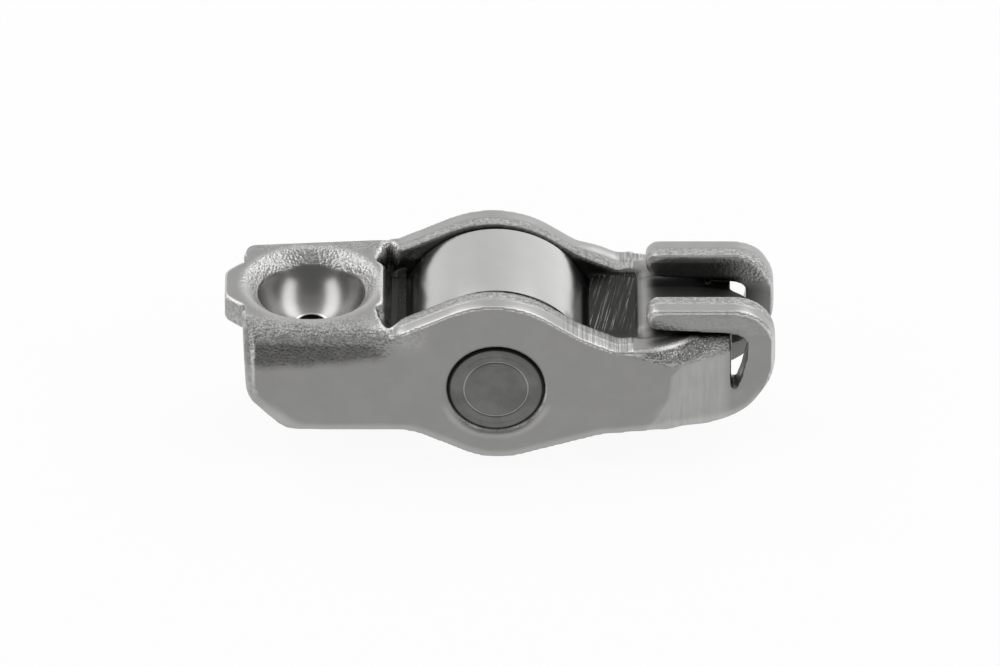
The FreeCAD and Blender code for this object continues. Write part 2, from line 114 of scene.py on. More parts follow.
def smooth_step(values: np.ndarray, low: float, high: float) -> np.ndarray:
    """Soft step of an array.

    Args:
        values: The numbers to step.
        low: Where the result is 0.
        high: Where the result is 1; it may lie below low.

    Returns:
        Numbers from 0 to 1.
    """
    share = np.clip((values - low) / (high - low), 0.0, 1.0)
    return share * share * (3.0 - 2.0 * share)


def within(values: np.ndarray, low: float, high: float, soft: float) -> np.ndarray:
    """Soft window of an array.

    Args:
        values: The numbers to test.
        low: Lower side of the window.
        high: Upper side of the window.
        soft: Width of each side's slope, centred on the side.

    Returns:
        Numbers near 1 inside the window and 0 outside it.
    """
    half = soft / 2.0
    rising = smooth_step(values, low - half, low + half)
    falling = smooth_step(values, high + half, high - half)
    return rising * falling


def spanned(values: np.ndarray, span: Span) -> np.ndarray:
    """How far inside a span each value is.

    Args:
        values: The numbers to test.
        span: Two numbers are a soft step from 0 to 1, or a plain limit where one of them is infinite.
            Three are a window with the width of its slopes. Four are 0 outside the outer two and 1 between
            the inner two, with a plain limit where two neighbours are equal.

    Returns:
        Numbers from 0 to 1, or truth values.
    """
    if len(span) == 3:
        return within(values, *span)
    if len(span) == 4:
        low, full, still_full, high = span
        rising = smooth_step(values, low, full) if low < full else values > low
        falling = smooth_step(values, high, still_full) if still_full < high else values < high
        return rising * falling
    if -INF in span or INF in span:
        return (values > span[0]) & (values < span[1])
    return smooth_step(values, *span)


def largest(*layers: np.ndarray) -> np.ndarray:
    """Largest of several arrays at each point."""
    return np.maximum.reduce(layers)


def new_object(name: str, mesh: bpy.types.Mesh) -> bpy.types.Object:
    """Object with a mesh, linked into the scene."""
    made = bpy.data.objects.new(name, mesh)
    bpy.context.scene.collection.objects.link(made)
    return made


def arc(centre: tuple[float, float], radius: float, start: float, end: float, steps: int) -> Profile:
    """Points on an arc in a half section.

    Args:
        centre: Its radius and Y.
        radius: The arc's own radius.
        start: Angle of the first point, in degrees from the radial direction.
        end: Angle of the last point.
        steps: Number of runs between them.

    Returns:
        The points, as radius and Y.
    """
    angles = [math.radians(start + (end - start) * i / steps) for i in range(steps + 1)]
    return [(centre[0] + radius * math.cos(a), centre[1] + radius * math.sin(a)) for a in angles]


def turned_mesh(name: str, half: Profile, turns: int, centre: Vector, closed: bool = False) -> bpy.types.Mesh:
    """Mesh turned about a line along Y, alike on both sides of its middle.

    Args:
        name: Name of the mesh.
        half: Points from the middle to one end, as radius and Y; a point with radius 0 becomes a pole.
        turns: Number of steps round the axis.
        centre: A point on the axis, in millimetres.
        closed: Whether the last profile point joins the first, as on a ring.

    Returns:
        The smooth-shaded mesh, in metres.
    """
    built = bmesh.new()
    rings = []
    for radius, y in [(r, -y) for r, y in reversed(half[1:])] + half:
        ring = []
        for i in range(turns if radius > 0.0 else 1):
            angle = 2.0 * math.pi * i / turns
            offset = Vector((radius * math.cos(angle), y, radius * math.sin(angle)))
            ring.append(built.verts.new((centre + offset) * MM))
        rings.append(ring)
    pairs = list(zip(rings, rings[1:]))
    if closed:
        pairs.append((rings[-1], rings[0]))
    for first, second in pairs:
        for i in range(turns):
            places = ((first, i), (first, i + 1), (second, i + 1), (second, i))
            built.faces.new(list(dict.fromkeys(ring[place % turns % len(ring)] for ring, place in places)))
    bmesh.ops.recalc_face_normals(built, faces=built.faces)
    mesh = bpy.data.meshes.new(name)
    built.to_mesh(mesh)
    built.free()
    shade_smooth(mesh)
    return mesh


def shade_smooth(mesh: bpy.types.Mesh) -> None:
    """Shades all faces smooth."""
    mesh.polygons.foreach_set("use_smooth", [True] * len(mesh.polygons))


def dressed(piece: bpy.types.Object, material: bpy.types.Material) -> bpy.types.Object:
    """The piece with its material, logged."""
    piece.data.materials.append(material)
    log.info("%s: %d faces", piece.name, len(piece.data.polygons))
    return piece


class FineMesh:
    """Arrays of a mesh's points and edges, with the averages over neighbours that smoothing needs."""

    def __init__(self, mesh: bpy.types.Mesh) -> None:
        """Reads the mesh, in millimetres.

        Args:
            mesh: The mesh.
        """
        self.mesh = mesh
        count = len(mesh.vertices)
        flat = np.zeros(count * 3)
        mesh.vertices.foreach_get("co", flat)
        self.points = flat.reshape(-1, 3) / MM
        pairs = np.zeros(len(mesh.edges) * 2, dtype=np.int64)
        mesh.edges.foreach_get("vertices", pairs)
        self.first, self.second = pairs.reshape(-1, 2).T
        self.degree = np.bincount(self.first, minlength=count) + np.bincount(self.second, minlength=count)

    def gather(self, values: np.ndarray, weights: np.ndarray) -> np.ndarray:
        """Weighted sum of the neighbours' values at each point.

        Args:
            values: One row to a point.
            weights: One number to an edge.

        Returns:
            One row to a point.
        """
        count = len(self.points)
        columns = []
        for column in values.T:
            there = np.bincount(self.first, column[self.second] * weights, count)
            back = np.bincount(self.second, column[self.first] * weights, count)
            columns.append(there + back)
        return np.stack(columns, axis=1)

    def mean(self, values: np.ndarray) -> np.ndarray:
        """Plain mean of the neighbours' values at each point."""
        return self.gather(values, np.ones(len(self.first))) / self.degree[:, None]

    def averaged(self, values: np.ndarray, rounds: int) -> np.ndarray:
        """One number to a point, averaged with the neighbours' numbers.

        Args:
            values: The numbers.
            rounds: How many times to average.

        Returns:
            The averaged numbers.
        """
        for _ in range(rounds):
            values = (values + self.mean(values[:, None])[:, 0]) / 2.0
        return values

    def relax(self, rounds: int, pull: float, push: float) -> None:
        """Rounds the edges off without shrinking the form: each round pulls in, then pushes out.

        Args:
            rounds: How many times.
            pull: Share of the way to the neighbours' mean.
            push: Share of the way back.
        """
        for _ in range(rounds):
            self.points += pull * (self.mean(self.points) - self.points)
            self.points -= push * (self.mean(self.points) - self.points)

    def soften(self, rounds: int, share: np.ndarray) -> None:
        """Wears a place down: pulls its points to their neighbours' mean.

        Args:
            rounds: How many times.
            share: One number to a point, 0 where nothing moves.
        """
        for _ in range(rounds):
            self.points += 0.5 * share[:, None] * (self.mean(self.points) - self.points)

    def write_back(self) -> None:
        """Puts the points into the mesh."""
        self.mesh.vertices.foreach_set("co", (self.points * MM).ravel())
        self.mesh.update()

    def normals(self) -> np.ndarray:
        """Point normals of the mesh as it stands."""
        flat = np.zeros(len(self.points) * 3)
        self.mesh.vertex_normals.foreach_get("vector", flat)
        return flat.reshape(-1, 3)

    def steadied(self, normals: np.ndarray, rounds: int, sharpest: float) -> np.ndarray:
        """Normals averaged along each face and bend, but not across an edge.

        Args:
            normals: Unit normals to start from.
            rounds: How many times to average.
            sharpest: Angle in degrees beyond which two neighbours don't share.

        Returns:
            Unit normals.
        """
        least = math.cos(math.radians(sharpest))
        for _ in range(rounds):
            likeness = np.einsum("ij,ij->i", normals[self.first], normals[self.second])
            weights = np.clip((likeness - least) / (1.0 - least), 0.0, 1.0)
            normals = normals + self.gather(normals, weights)
            normals = normals / np.linalg.norm(normals, axis=1, keepdims=True)
        return normals

    def put_mark(self, mark: Mark, values: np.ndarray) -> None:
        """Keeps a mark as a point attribute.

        Args:
            mark: Which mark.
            values: One number from 0 to 1 to a point.
        """
        attribute = self.mesh.attributes.new(mark.value, "FLOAT", "POINT")
        attribute.data.foreach_set("value", values.astype(np.float32))


# Shader nodes


class Wiring:
    """Short hand for adding and joining the shader nodes of one tree."""

    def __init__(self, tree: bpy.types.NodeTree) -> None:
        """Works on the given tree."""
        self.tree = tree

    def add(self, kind: str, **settings: object) -> bpy.types.Node:
        """New node.

        Args:
            kind: Blender's type name of the node.
            settings: Properties to set on it.

        Returns:
            The node.
        """
        node = self.tree.nodes.new(kind)
        for name, value in settings.items():
            setattr(node, name, value)
        return node

    def feed(self, socket: bpy.types.NodeSocket, source: object) -> None:
        """Joins a socket to another one, or sets its value where the source is a number or tuple."""
        if isinstance(source, bpy.types.NodeSocket):
            self.tree.links.new(source, socket)
        else:
            socket.default_value = source

    def maths(self, operation: str, *sources: object) -> bpy.types.NodeSocket:
        """Result of a Math node.

        Args:
            operation: Name of the operation.
            sources: Sockets or numbers, in the node's order.

        Returns:
            The value socket.
        """
        node = self.add("ShaderNodeMath", operation=operation)
        for socket, source in zip(node.inputs, sources):
            self.feed(socket, source)
        return node.outputs[0]

    def times(self, *sources: object) -> bpy.types.NodeSocket:
        """Product of sockets and numbers."""
        return reduce(lambda first, second: self.maths("MULTIPLY", first, second), sources)

    def plus(self, *sources: object) -> bpy.types.NodeSocket:
        """Sum of sockets and numbers."""
        return reduce(lambda first, second: self.maths("ADD", first, second), sources)

    def less(self, first: object, second: object) -> bpy.types.NodeSocket:
        """Difference of two sockets or numbers."""
        return self.maths("SUBTRACT", first, second)

    def radius(self, first: object, second: object) -> bpy.types.NodeSocket:
        """Length of two sides at right angles."""
        return self.maths("SQRT", self.plus(*(self.maths("POWER", side, 2.0) for side in (first, second))))

    def apart(self, vector: object) -> bpy.types.bpy_prop_collection:
        """A vector's X, Y and Z sockets."""
        node = self.add("ShaderNodeSeparateXYZ")
        self.feed(node.inputs[0], vector)
        return node.outputs

    def scaled(self, vector: object, factor: object) -> bpy.types.NodeSocket:
        """Vector or colour times a factor."""
        node = self.add("ShaderNodeVectorMath", operation="SCALE")
        self.feed(node.inputs[0], vector)
        self.feed(node.inputs["Scale"], factor)
        return node.outputs[0]

    def remap(self, value: bpy.types.NodeSocket, low: float, high: float) -> bpy.types.NodeSocket:
        """Soft step of a value.

        Args:
            value: The value.
            low: Where the result is 0.
            high: Where it is 1.

        Returns:
            The value socket.
        """
        node = self.add("ShaderNodeMapRange", interpolation_type="SMOOTHSTEP")
        self.feed(node.inputs["Value"], value)
        self.feed(node.inputs["From Min"], low)
        self.feed(node.inputs["From Max"], high)
        return node.outputs["Result"]

    def blend(self, share: object, first: object, second: object) -> bpy.types.NodeSocket:
        """Colour between two.

        Args:
            share: Share of the way, from 0 to 1.
            first: Colour at 0.
            second: Colour at 1.

        Returns:
            The colour socket.
        """
        node = self.add("ShaderNodeMix", data_type="RGBA")
        self.feed(node.inputs[0], share)
        self.feed(node.inputs[6], first)
        self.feed(node.inputs[7], second)
        return node.outputs[2]

    def between(self, share: object, first: object, second: object) -> bpy.types.NodeSocket:
        """Number between two.

        Args:
            share: Share of the way, from 0 to 1.
            first: Number at 0.
            second: Number at 1.

        Returns:
            The value socket.
        """
        node = self.add("ShaderNodeMix", data_type="FLOAT")
        self.feed(node.inputs[0], share)
        self.feed(node.inputs[2], first)
        self.feed(node.inputs[3], second)
        return node.outputs[0]

    def stretched(
        self, vector: object, scale: Triple, turn: Triple = (0.0, 0.0, 0.0)
    ) -> bpy.types.NodeSocket:
        """Coordinates turned, then scaled.

        Args:
            vector: The coordinates.
            scale: Factor along each axis.
            turn: Turn about each axis, in degrees.

        Returns:
            The changed coordinates.
        """
        node = self.add("ShaderNodeMapping", vector_type="TEXTURE")
        self.feed(node.inputs["Vector"], vector)
        self.feed(node.inputs["Rotation"], tuple(math.radians(a) for a in turn))
        self.feed(node.inputs["Scale"], tuple(1.0 / s for s in scale))
        return node.outputs["Vector"]

    def noise(self, vector: object, scale: float, detail: float, rough: float) -> bpy.types.NodeSocket:
        """Fractal noise.

        Args:
            vector: The coordinates.
            scale: Grains to a unit length.
            detail: Number of finer layers.
            rough: How strong those layers are.

        Returns:
            The value socket.
        """
        node = self.add("ShaderNodeTexNoise")
        self.feed(node.inputs["Vector"], vector)
        self.feed(node.inputs["Scale"], scale)
        self.feed(node.inputs["Detail"], detail)
        self.feed(node.inputs["Roughness"], rough)
        return node.outputs[0]

    def cells(self, vector: object, scale: float, smoothness: float) -> bpy.types.NodeSocket:
        """Distance from the middle of rounded cells.

        Args:
            vector: The coordinates.
            scale: Cells to a unit length.
            smoothness: How far the cells run into each other.

        Returns:
            The value socket.
        """
        node = self.add("ShaderNodeTexVoronoi", feature="SMOOTH_F1")
        self.feed(node.inputs["Vector"], vector)
        self.feed(node.inputs["Scale"], scale)
        self.feed(node.inputs["Smoothness"], smoothness)
        return node.outputs["Distance"]

    def mark(self, mark: Mark) -> bpy.types.NodeSocket:
        """Value of a mark that the mesh carries."""
        node = self.add("ShaderNodeAttribute", attribute_type="GEOMETRY", attribute_name=mark.value)
        return node.outputs["Fac"]

    def placed(self, group: bpy.types.NodeTree, **sources: object) -> bpy.types.bpy_prop_collection:
        """Copy of a shared group in this tree.

        Args:
            group: The group.
            sources: Value or socket for each of its inputs.

        Returns:
            The group node's outputs.
        """
        node = self.add("ShaderNodeGroup", node_tree=group)
        for name, source in sources.items():
            self.feed(node.inputs[name], source)
        return node.outputs

    def millimetres(self) -> bpy.types.NodeSocket:
        """The object's own coordinates in millimetres."""
        return self.scaled(self.add("ShaderNodeTexCoord").outputs["Object"], 1.0 / MM)


class SharedEffect:
    """A shader node group with named inputs and outputs, built once."""

    def __init__(self, name: str, inputs: dict[str, str], outputs: dict[str, str]) -> None:
        """Makes the group's sockets.

        Args:
            name: Name of the group.
            inputs: Socket type of each input by name.
            outputs: Socket type of each output by name.
        """
        self.tree = bpy.data.node_groups.new(name, "ShaderNodeTree")
        for label, kind in inputs.items():
            self.tree.interface.new_socket(label, in_out="INPUT", socket_type=kind)
        for label, kind in outputs.items():
            self.tree.interface.new_socket(label, in_out="OUTPUT", socket_type=kind)
        self.wires = Wiring(self.tree)
        self.given = self.wires.add("NodeGroupInput").outputs
        self.result = self.wires.add("NodeGroupOutput").inputs


def edge_wear_and_highlight() -> bpy.types.NodeTree:
    """Bright edges, broken up by grain: rubbed steel, with painted highlight where edges catch the light.

    Returns:
        Group with inputs Coordinates and Edge, and output Mask.
    """
    effect = SharedEffect("edge_wear_and_highlight", {"Coordinates": VECTOR, "Edge": VALUE}, {"Mask": VALUE})
    w = effect.wires
    grain = w.noise(effect.given["Coordinates"], 2.2, 4.0, 0.6)
    broken = w.plus(effect.given["Edge"], w.times(w.less(grain, 0.5), 0.45))
    w.feed(effect.result["Mask"], w.remap(broken, 0.25, 0.8))
    return effect.tree


def orange_peel() -> bpy.types.NodeTree:
    """Pebbled skin of steel that was stretched in a bend.

    Returns:
        Group with inputs Coordinates and Amount, and outputs Height in millimetres and Tone.
    """
    effect = SharedEffect("orange_peel", {"Coordinates": VECTOR, "Amount": VALUE}, SURFACE)
    w = effect.wires
    place, amount = effect.given["Coordinates"], effect.given["Amount"]
    pebbles = w.cells(place, 3.8, 0.25)
    waves = w.noise(place, 1.8, 3.0, 0.6)
    w.feed(effect.result["Height"], w.times(w.plus(w.times(pebbles, -0.1), w.times(waves, 0.07)), amount))
    spots = w.plus(w.noise(place, 3.4, 5.0, 0.75), w.times(w.noise(place, 0.8, 2.0, 0.5), 0.4))
    w.feed(effect.result["Tone"], w.between(amount, 0.5, w.remap(spots, 0.5, 0.9)))
    return effect.tree


def sheared_edge() -> bpy.types.NodeTree:
    """Blanked edge: a smooth sheared band, a torn band beside it, and upright stripes from the punch.

    Returns:
        Group with inputs Coordinates, Fracture and Stripes, and outputs Height in millimetres and Tone.
    """
    inputs = {"Coordinates": VECTOR, "Fracture": VALUE, "Stripes": VALUE}
    effect = SharedEffect("sheared_edge", inputs, SURFACE)
    w = effect.wires
    place, fracture, stripes = (effect.given[name] for name in inputs)
    torn = w.noise(place, 3.2, 5.0, 0.75)
    lines = w.noise(w.stretched(place, (4.5, 0.12, 4.5)), 1.0, 2.0, 0.6)
    w.feed(effect.result["Height"], w.plus(w.times(torn, 0.16, fracture), w.times(lines, 0.05, stripes)))
    torn_tone = w.between(fracture, 0.5, w.remap(torn, 0.38, 0.62))
    w.feed(effect.result["Tone"], w.between(stripes, torn_tone, w.remap(lines, 0.35, 0.65)))
    return effect.tree


def drawn_grain() -> bpy.types.NodeTree:
    """Fine lines left by drawing, grinding or turning, and slow cloudiness under them.

    Returns:
        Group with inputs Coordinates, stretched along the lines, and Place, and outputs Height and Tone.
    """
    effect = SharedEffect("drawn_grain", {"Coordinates": VECTOR, "Place": VECTOR}, SURFACE)
    w = effect.wires
    lines = w.noise(effect.given["Coordinates"], 1.0, 3.0, 0.6)
    clouds = w.noise(effect.given["Place"], 0.35, 3.0, 0.55)
    w.feed(effect.result["Height"], w.times(lines, 0.01))
    w.feed(effect.result["Tone"], w.between(0.6, lines, w.remap(clouds, 0.35, 0.65)))
    return effect.tree


def gouges() -> bpy.types.NodeTree:
    """Long fine drag marks of the press tool, leaning a little, bright where they scored the scale.

    Returns:
        Group with inputs Coordinates and Amount, and outputs Height in millimetres and Tone.
    """
    effect = SharedEffect("gouges", {"Coordinates": VECTOR, "Amount": VALUE}, SURFACE)
    w = effect.wires
    place, amount = effect.given["Coordinates"], effect.given["Amount"]
    streaks = w.noise(w.stretched(place, (5.0, 0.09, 5.0), (0.0, 0.0, -9.0)), 1.0, 3.0, 0.75)
    patches = w.remap(w.noise(place, 0.4, 2.0, 0.5), 0.32, 0.52)
    sharp = w.times(w.remap(streaks, 0.53, 0.66), patches)
    w.feed(effect.result["Height"], w.times(sharp, -0.04, amount))
    w.feed(effect.result["Tone"], w.times(sharp, amount))
    return effect.tree


@dataclass(frozen=True)
class Effects:
    """The node groups that the materials share."""

    edge_wear_and_highlight: bpy.types.NodeTree
    orange_peel: bpy.types.NodeTree
    sheared_edge: bpy.types.NodeTree
    drawn_grain: bpy.types.NodeTree
    gouges: bpy.types.NodeTree

    @classmethod
    def built(cls) -> "Effects":
        """Builds every group once."""
        return cls(edge_wear_and_highlight(), orange_peel(), sheared_edge(), drawn_grain(), gouges())


def rgba(colour: Colour) -> tuple[float, float, float, float]:
    """Colour with full alpha."""
    return (*colour, 1.0)


def new_material(name: str) -> tuple[bpy.types.Material, Wiring, bpy.types.Node]:
    """Material whose shader is a metal.

    Args:
        name: Name of the material.

    Returns:
        The material, its wiring and its Principled node.
    """
    material = bpy.data.materials.new(name)
    material.use_nodes = True
    shader = material.node_tree.nodes["Principled BSDF"]
    shader.inputs["Metallic"].default_value = 1.0
    return material, Wiring(material.node_tree), shader


def relief(wires: Wiring, shader: bpy.types.Node, height: bpy.types.NodeSocket) -> None:
    """Bump from a height in millimetres.

    Args:
        wires: The material's wiring.
        shader: Its Principled node.
        height: The height.
    """
    bump = wires.add("ShaderNodeBump")
    bump.inputs["Distance"].default_value = MM
    wires.feed(bump.inputs["Height"], height)
    wires.feed(shader.inputs["Normal"], bump.outputs["Normal"])


@dataclass(frozen=True)
class SheetFinish:
    """Pressed, ironing-thinned and tumbled sheet steel, with its bends, cut edges and ball cup. Some of its
    marks paint light and shade into its colour.
    """

    # Colour of the walls' sideways faces: ironing skin, kept darker than the tops as painted shade
    ironed_and_shaded: Colour = (0.283, 0.281, 0.275)
    bent: Colour = (0.385, 0.382, 0.374)
    # Colour of the painted highlight on the cup's lip and the walls' lower edges
    lip: Colour = (0.55, 0.547, 0.537)
    # Colour of the painted shade band along the channel's bend
    shaded_band: Colour = (0.14, 0.1385, 0.135)
    cut: Colour = (0.46, 0.457, 0.45)
    # Colour of rubbed edges, also used as painted highlight on edges and on the holes' rims
    wear_and_highlight: Colour = (0.66, 0.655, 0.645)
    cup: Colour = (0.36, 0.356, 0.344)
    # Colour of the painted shade in recesses, under and between the hooks and in creases
    inside: Colour = (0.038, 0.0375, 0.0362)
    # Colour of the painted shade in the pin's and the oil hole's gaps
    gap: Colour = (0.02, 0.0198, 0.0192)
    scored: Colour = (0.3, 0.297, 0.29)
    hole_rim: float = 4.4
    oil_hole_rim: float = 1.34
    # Strength of the painted highlight on the holes' rims
    rim_highlight: float = 0.7
    skin_tone: float = 0.8
    grain_tone: float = 0.12
    brushed_tone: float = 0.7
    tone_swing: float = 0.6
    darkest: float = 0.724
    grain_height: float = 0.3
    ironed_roughness: float = 0.42
    bent_roughness: float = 0.4
    matt_roughness: float = 0.5
    cut_roughness: float = 0.36
    worn_roughness: float = 0.42
    cup_roughness: float = 0.27

    def round_pin(self, w: Wiring, place: bpy.types.NodeSocket) -> tuple[bpy.types.NodeSocket, ...]:
        """Masks round the pin's hole, from the distance to the roller's axle.

        Args:
            w: The material's wiring.
            place: Coordinates in millimetres.

        Returns:
            Masks of the painted highlight on the hole's lower rim, broken by grain, and of the painted shade
            in the gap inside it.
        """
        centre, sides = axle_centre(), w.apart(place)
        across, up = w.less(sides["X"], centre.x), w.less(sides["Z"], centre.z)
        radius = w.radius(across, up)
        low_side = w.remap(w.less(w.times(across, 0.5), up), -1.5, 2.5)
        edge = self.hole_rim
        rim = w.times(w.remap(radius, edge, edge + 0.1), w.remap(radius, edge + 0.32, edge + 0.2), low_side)
        broken = w.remap(w.noise(place, 1.4, 3.0, 0.6), 0.35, 0.6)
        return w.times(rim, self.rim_highlight, broken), w.remap(radius, edge + 0.05, edge - 0.05)

    def oil_hole(self, w: Wiring, place: bpy.types.NodeSocket) -> tuple[bpy.types.NodeSocket, ...]:
        """Masks of the oil hole at the cup's bottom, from the distance to the ball's upright axis.

        Args:
            w: The material's wiring.
            place: Coordinates in millimetres.

        Returns:
            Masks of the painted highlight on its rim and of the painted shade in the hole.
        """
        sides = w.apart(place)
        radius, low = w.radius(sides["X"], sides["Y"]), w.remap(sides["Z"], -3.6, -4.0)
        edge = self.oil_hole_rim
        rim = w.times(w.remap(radius, edge + 0.24, edge + 0.12), low, self.rim_highlight)
        return rim, w.times(w.remap(radius, edge + 0.04, edge - 0.04), low)

    def material(self, effects: Effects) -> bpy.types.Material:
        """Builds the material.

        Args:
            effects: The shared node groups.

        Returns:
            The material, which reads the sheet's marks.
        """
        material, w, shader = new_material("pressed_sheet_steel")
        place = w.millimetres()
        marks = {mark: w.mark(mark) for mark in Mark}
        cut = marks[Mark.CUT]
        wear_and_highlight_mask = w.placed(effects.edge_wear_and_highlight, Coordinates=place, Edge=marks[Mark.EDGE])["Mask"]
        skin = w.placed(effects.orange_peel, Coordinates=place, Amount=marks[Mark.PEEL])
        stripes, fracture = marks[Mark.STRIPED], marks[Mark.FRACTURE]
        sheared = w.placed(effects.sheared_edge, Coordinates=place, Fracture=fracture, Stripes=stripes)
        grain = w.placed(effects.drawn_grain, Coordinates=w.stretched(place, (0.5, 6.0, 3.0)), Place=place)
        drag = w.placed(effects.gouges, Coordinates=place, Amount=marks[Mark.GOUGED])
        oil_hole_rim_highlight, oil_hole_shade = self.oil_hole(w, place)
        pin_rim_highlight, pin_gap_shade = self.round_pin(w, place)

        colour = rgba(self.bent)
        for share, over in (
            (marks[Mark.IRONED], self.ironed_and_shaded),
            (marks[Mark.LIP], self.lip),
            (marks[Mark.DULL], self.shaded_band),
            (cut, self.cut),
            (marks[Mark.HOLLOW], self.inside),
            (wear_and_highlight_mask, self.wear_and_highlight),
            (marks[Mark.CUP], self.cup),
            (drag["Tone"], self.scored),
            (oil_hole_rim_highlight, self.wear_and_highlight),
            (oil_hole_shade, self.gap),
            (pin_rim_highlight, self.wear_and_highlight),
            (pin_gap_shade, self.gap),
        ):
            colour = w.blend(share, colour, rgba(over))
        upright = w.less(w.noise(w.stretched(place, (3.2, 1.0, 0.3)), 1.0, 3.0, 0.65), 0.42)
        tone = w.plus(
            w.times(skin["Tone"], self.skin_tone),
            w.times(grain["Tone"], self.grain_tone),
            w.times(w.less(sheared["Tone"], 0.5), cut),
            w.times(upright, self.brushed_tone, marks[Mark.BRUSHED]),
        )
        shade = w.plus(w.times(tone, self.tone_swing), self.darkest)
        w.feed(shader.inputs["Base Color"], w.scaled(colour, shade))

        rough = self.bent_roughness
        for share, over in (
            (marks[Mark.IRONED], self.ironed_roughness),
            (marks[Mark.MATT], self.matt_roughness),
            (cut, self.cut_roughness),
            (wear_and_highlight_mask, self.worn_roughness),
            (marks[Mark.CUP], self.cup_roughness),
        ):
            rough = w.between(share, rough, over)
        w.feed(shader.inputs["Roughness"], rough)
        lines = w.times(grain["Height"], self.grain_height)
        relief(w, shader, w.plus(skin["Height"], w.times(sheared["Height"], cut), drag["Height"], lines))
        return material


@dataclass(frozen=True)
class TurnedFinish:
    """Hardened steel that was turned or ground round the roller's axle."""

    name: str
    colour: Colour
    roughness: float
    line_height: float
    tone_swing: float
    marked: bool = False
    ring: Colour = (0.42, 0.418, 0.41)
    # Colour of painted shade: the roller's rims and the pin's gap
    gap: Colour = (0.02, 0.0198, 0.0192)

    def material(self, effects: Effects) -> bpy.types.Material:
        """Builds the material.

        Args:
            effects: The shared node groups.

        Returns:
            The material, with lines that run round the axle.
        """
        material, w, shader = new_material(self.name)
        place = w.millimetres()
        grain = w.placed(effects.drawn_grain, Coordinates=w.stretched(place, (0.4, 14.0, 0.4)), Place=place)
        shade = w.plus(w.times(grain["Tone"], self.tone_swing), 1.0 - self.tone_swing / 2)
        colour = self.colour
        if self.marked:
            wear_and_highlight_mask = w.placed(effects.edge_wear_and_highlight, Coordinates=place, Edge=w.mark(Mark.EDGE))["Mask"]
            ringed = w.blend(w.times(wear_and_highlight_mask, 0.55), rgba(colour), rgba(self.ring))
            # Painted shade on the marked places
            colour = w.blend(w.mark(Mark.HOLLOW), ringed, rgba(self.gap))
        w.feed(shader.inputs["Base Color"], w.scaled(colour, shade))
        shader.inputs["Roughness"].default_value = self.roughness
        relief(w, shader, w.times(grain["Height"], self.line_height))
        return material


GROUND_STEEL = TurnedFinish(
    "ground_roller_steel", colour=(0.66, 0.657, 0.65), roughness=0.2, line_height=0.15, tone_swing=0.05,
    marked=True,
)
DULL_STEEL = TurnedFinish(
    "dull_pin_steel", colour=(0.15, 0.149, 0.146), roughness=0.45, line_height=0.6, tone_swing=0.45,
    marked=True,
)
BRIGHT_STEEL = TurnedFinish(
    "bright_needle_steel", colour=(0.55, 0.548, 0.54), roughness=0.16, line_height=0.1, tone_swing=0.05
)


# Pieces


def axle_centre() -> Vector:
    """Middle of the roller's axle, in millimetres."""
    return turned_size("cam_roller")[0]


def turned_size(node: str) -> tuple[Vector, float, float]:
    """Middle, radius and half length of a node that is turned about a line along Y, in millimetres."""
    low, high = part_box(node)
    return (low + high) / 2.0 / MM, (high.z - low.z) / 2.0 / MM, (high.y - low.y) / 2.0 / MM


class Zone:
    """Soft-edged part of the sheet: spans of some of its measures, and a level that scales the result."""

    def __init__(self, level: float = 1.0, **spans: Span) -> None:
        """Keeps the spans by the names of their measures."""
        self.level = level
        self.spans = spans

    def share(self, measures: Measures) -> np.ndarray:
        """How far inside the zone each point is.

        Args:
            measures: The sheet's measures by name.

        Returns:
            Numbers from 0 to the zone's level.
        """
        share = np.full(len(measures["x"]), self.level)
        for name, span in self.spans.items():
            share *= spanned(measures[name], span)
        return share


@dataclass(frozen=True)
class PressZones:
    """Where the press shapes the sheet."""

    bevelled_end: Zone = Zone(x=(-14.0, -18.0), side=(6.325, 7.925))
    slot: Zone = Zone(x=(20.9, 23.6, 0.9), z=(-4.2, -1.4, 0.4, 2.4), side=(2.9, INF))
    shoulder: Zone = Zone(x=(12.65, 22.2, 0.6), z=(0.2, 4.47, 0.8), side=(3.6, 5.2))
    junction: Zone = Zone(x=(-10.9, -8.7, 0.6), z=(2.5, INF), side=(5.2, INF))
    relief: Zone = Zone(relief=(-0.05, 0.25), z=(3.6, 6.0), side=(4.4, INF))
    by_relief: Zone = Zone(relief=(-0.7, -0.3), x=(-INF, -8.0), z=(4.0, INF), side=(4.8, INF))
    heel: Zone = Zone(x=(-15.5, -17.0), z=(-2.5, -3.2))
    heel_skin: Zone = Zone(heel=(0.7, 0.2), z=(0.5, -1.5))
    heel_foot: Zone = Zone(heel=(0.7, 0.2), x=(-19.0, -20.5), z=(0.5, -1.5))
    belly: Zone = Zone(x=(16.5, 19.8, 20.8, 24.0), z=(-2.0, -3.6))
    beyond_elbow: Zone = Zone(x=(17.26, INF), z=(2.2, 0.6))
    elbow: Zone = Zone(x=(20.5, 22.0), z=(-0.5, -2.0))
    far_hook: Zone = Zone(x=(12.7, INF), y=(2.6, INF), z=(4.8, 6.2))
    far_saddle: Zone = Zone(x=(8.2, 13.7, 2.8), y=(5.6, 7.8), z=(1.5, 3.2))
    pin_hole: Zone = Zone(round_pin=(4.6, 4.2), side=(7.825, INF))
    joggle_field: Zone = Zone(
        crease=(-0.1, 0.8), across=(0.55, 0.8), x=(22.3, 19.6), z=(-4.3, -2.8), side=(5.325, INF)
    )
    end_face: Zone = Zone(x=(-21.4, -22.4), z=(-4.0, -1.0), side=(4.6, INF))
    end_corner: Zone = Zone(x=(-21.9, -22.9), side=(4.6, 6.4))
    pad_foot: Zone = Zone(x=(19.4, 21.0, 0.4), z=(3.5, 4.7, 0.3), side=(2.6, 3.9, 0.3))
    hook_tip: Zone = Zone(x=(13.0, 13.0, 14.0, 14.8), z=(4.47, INF))


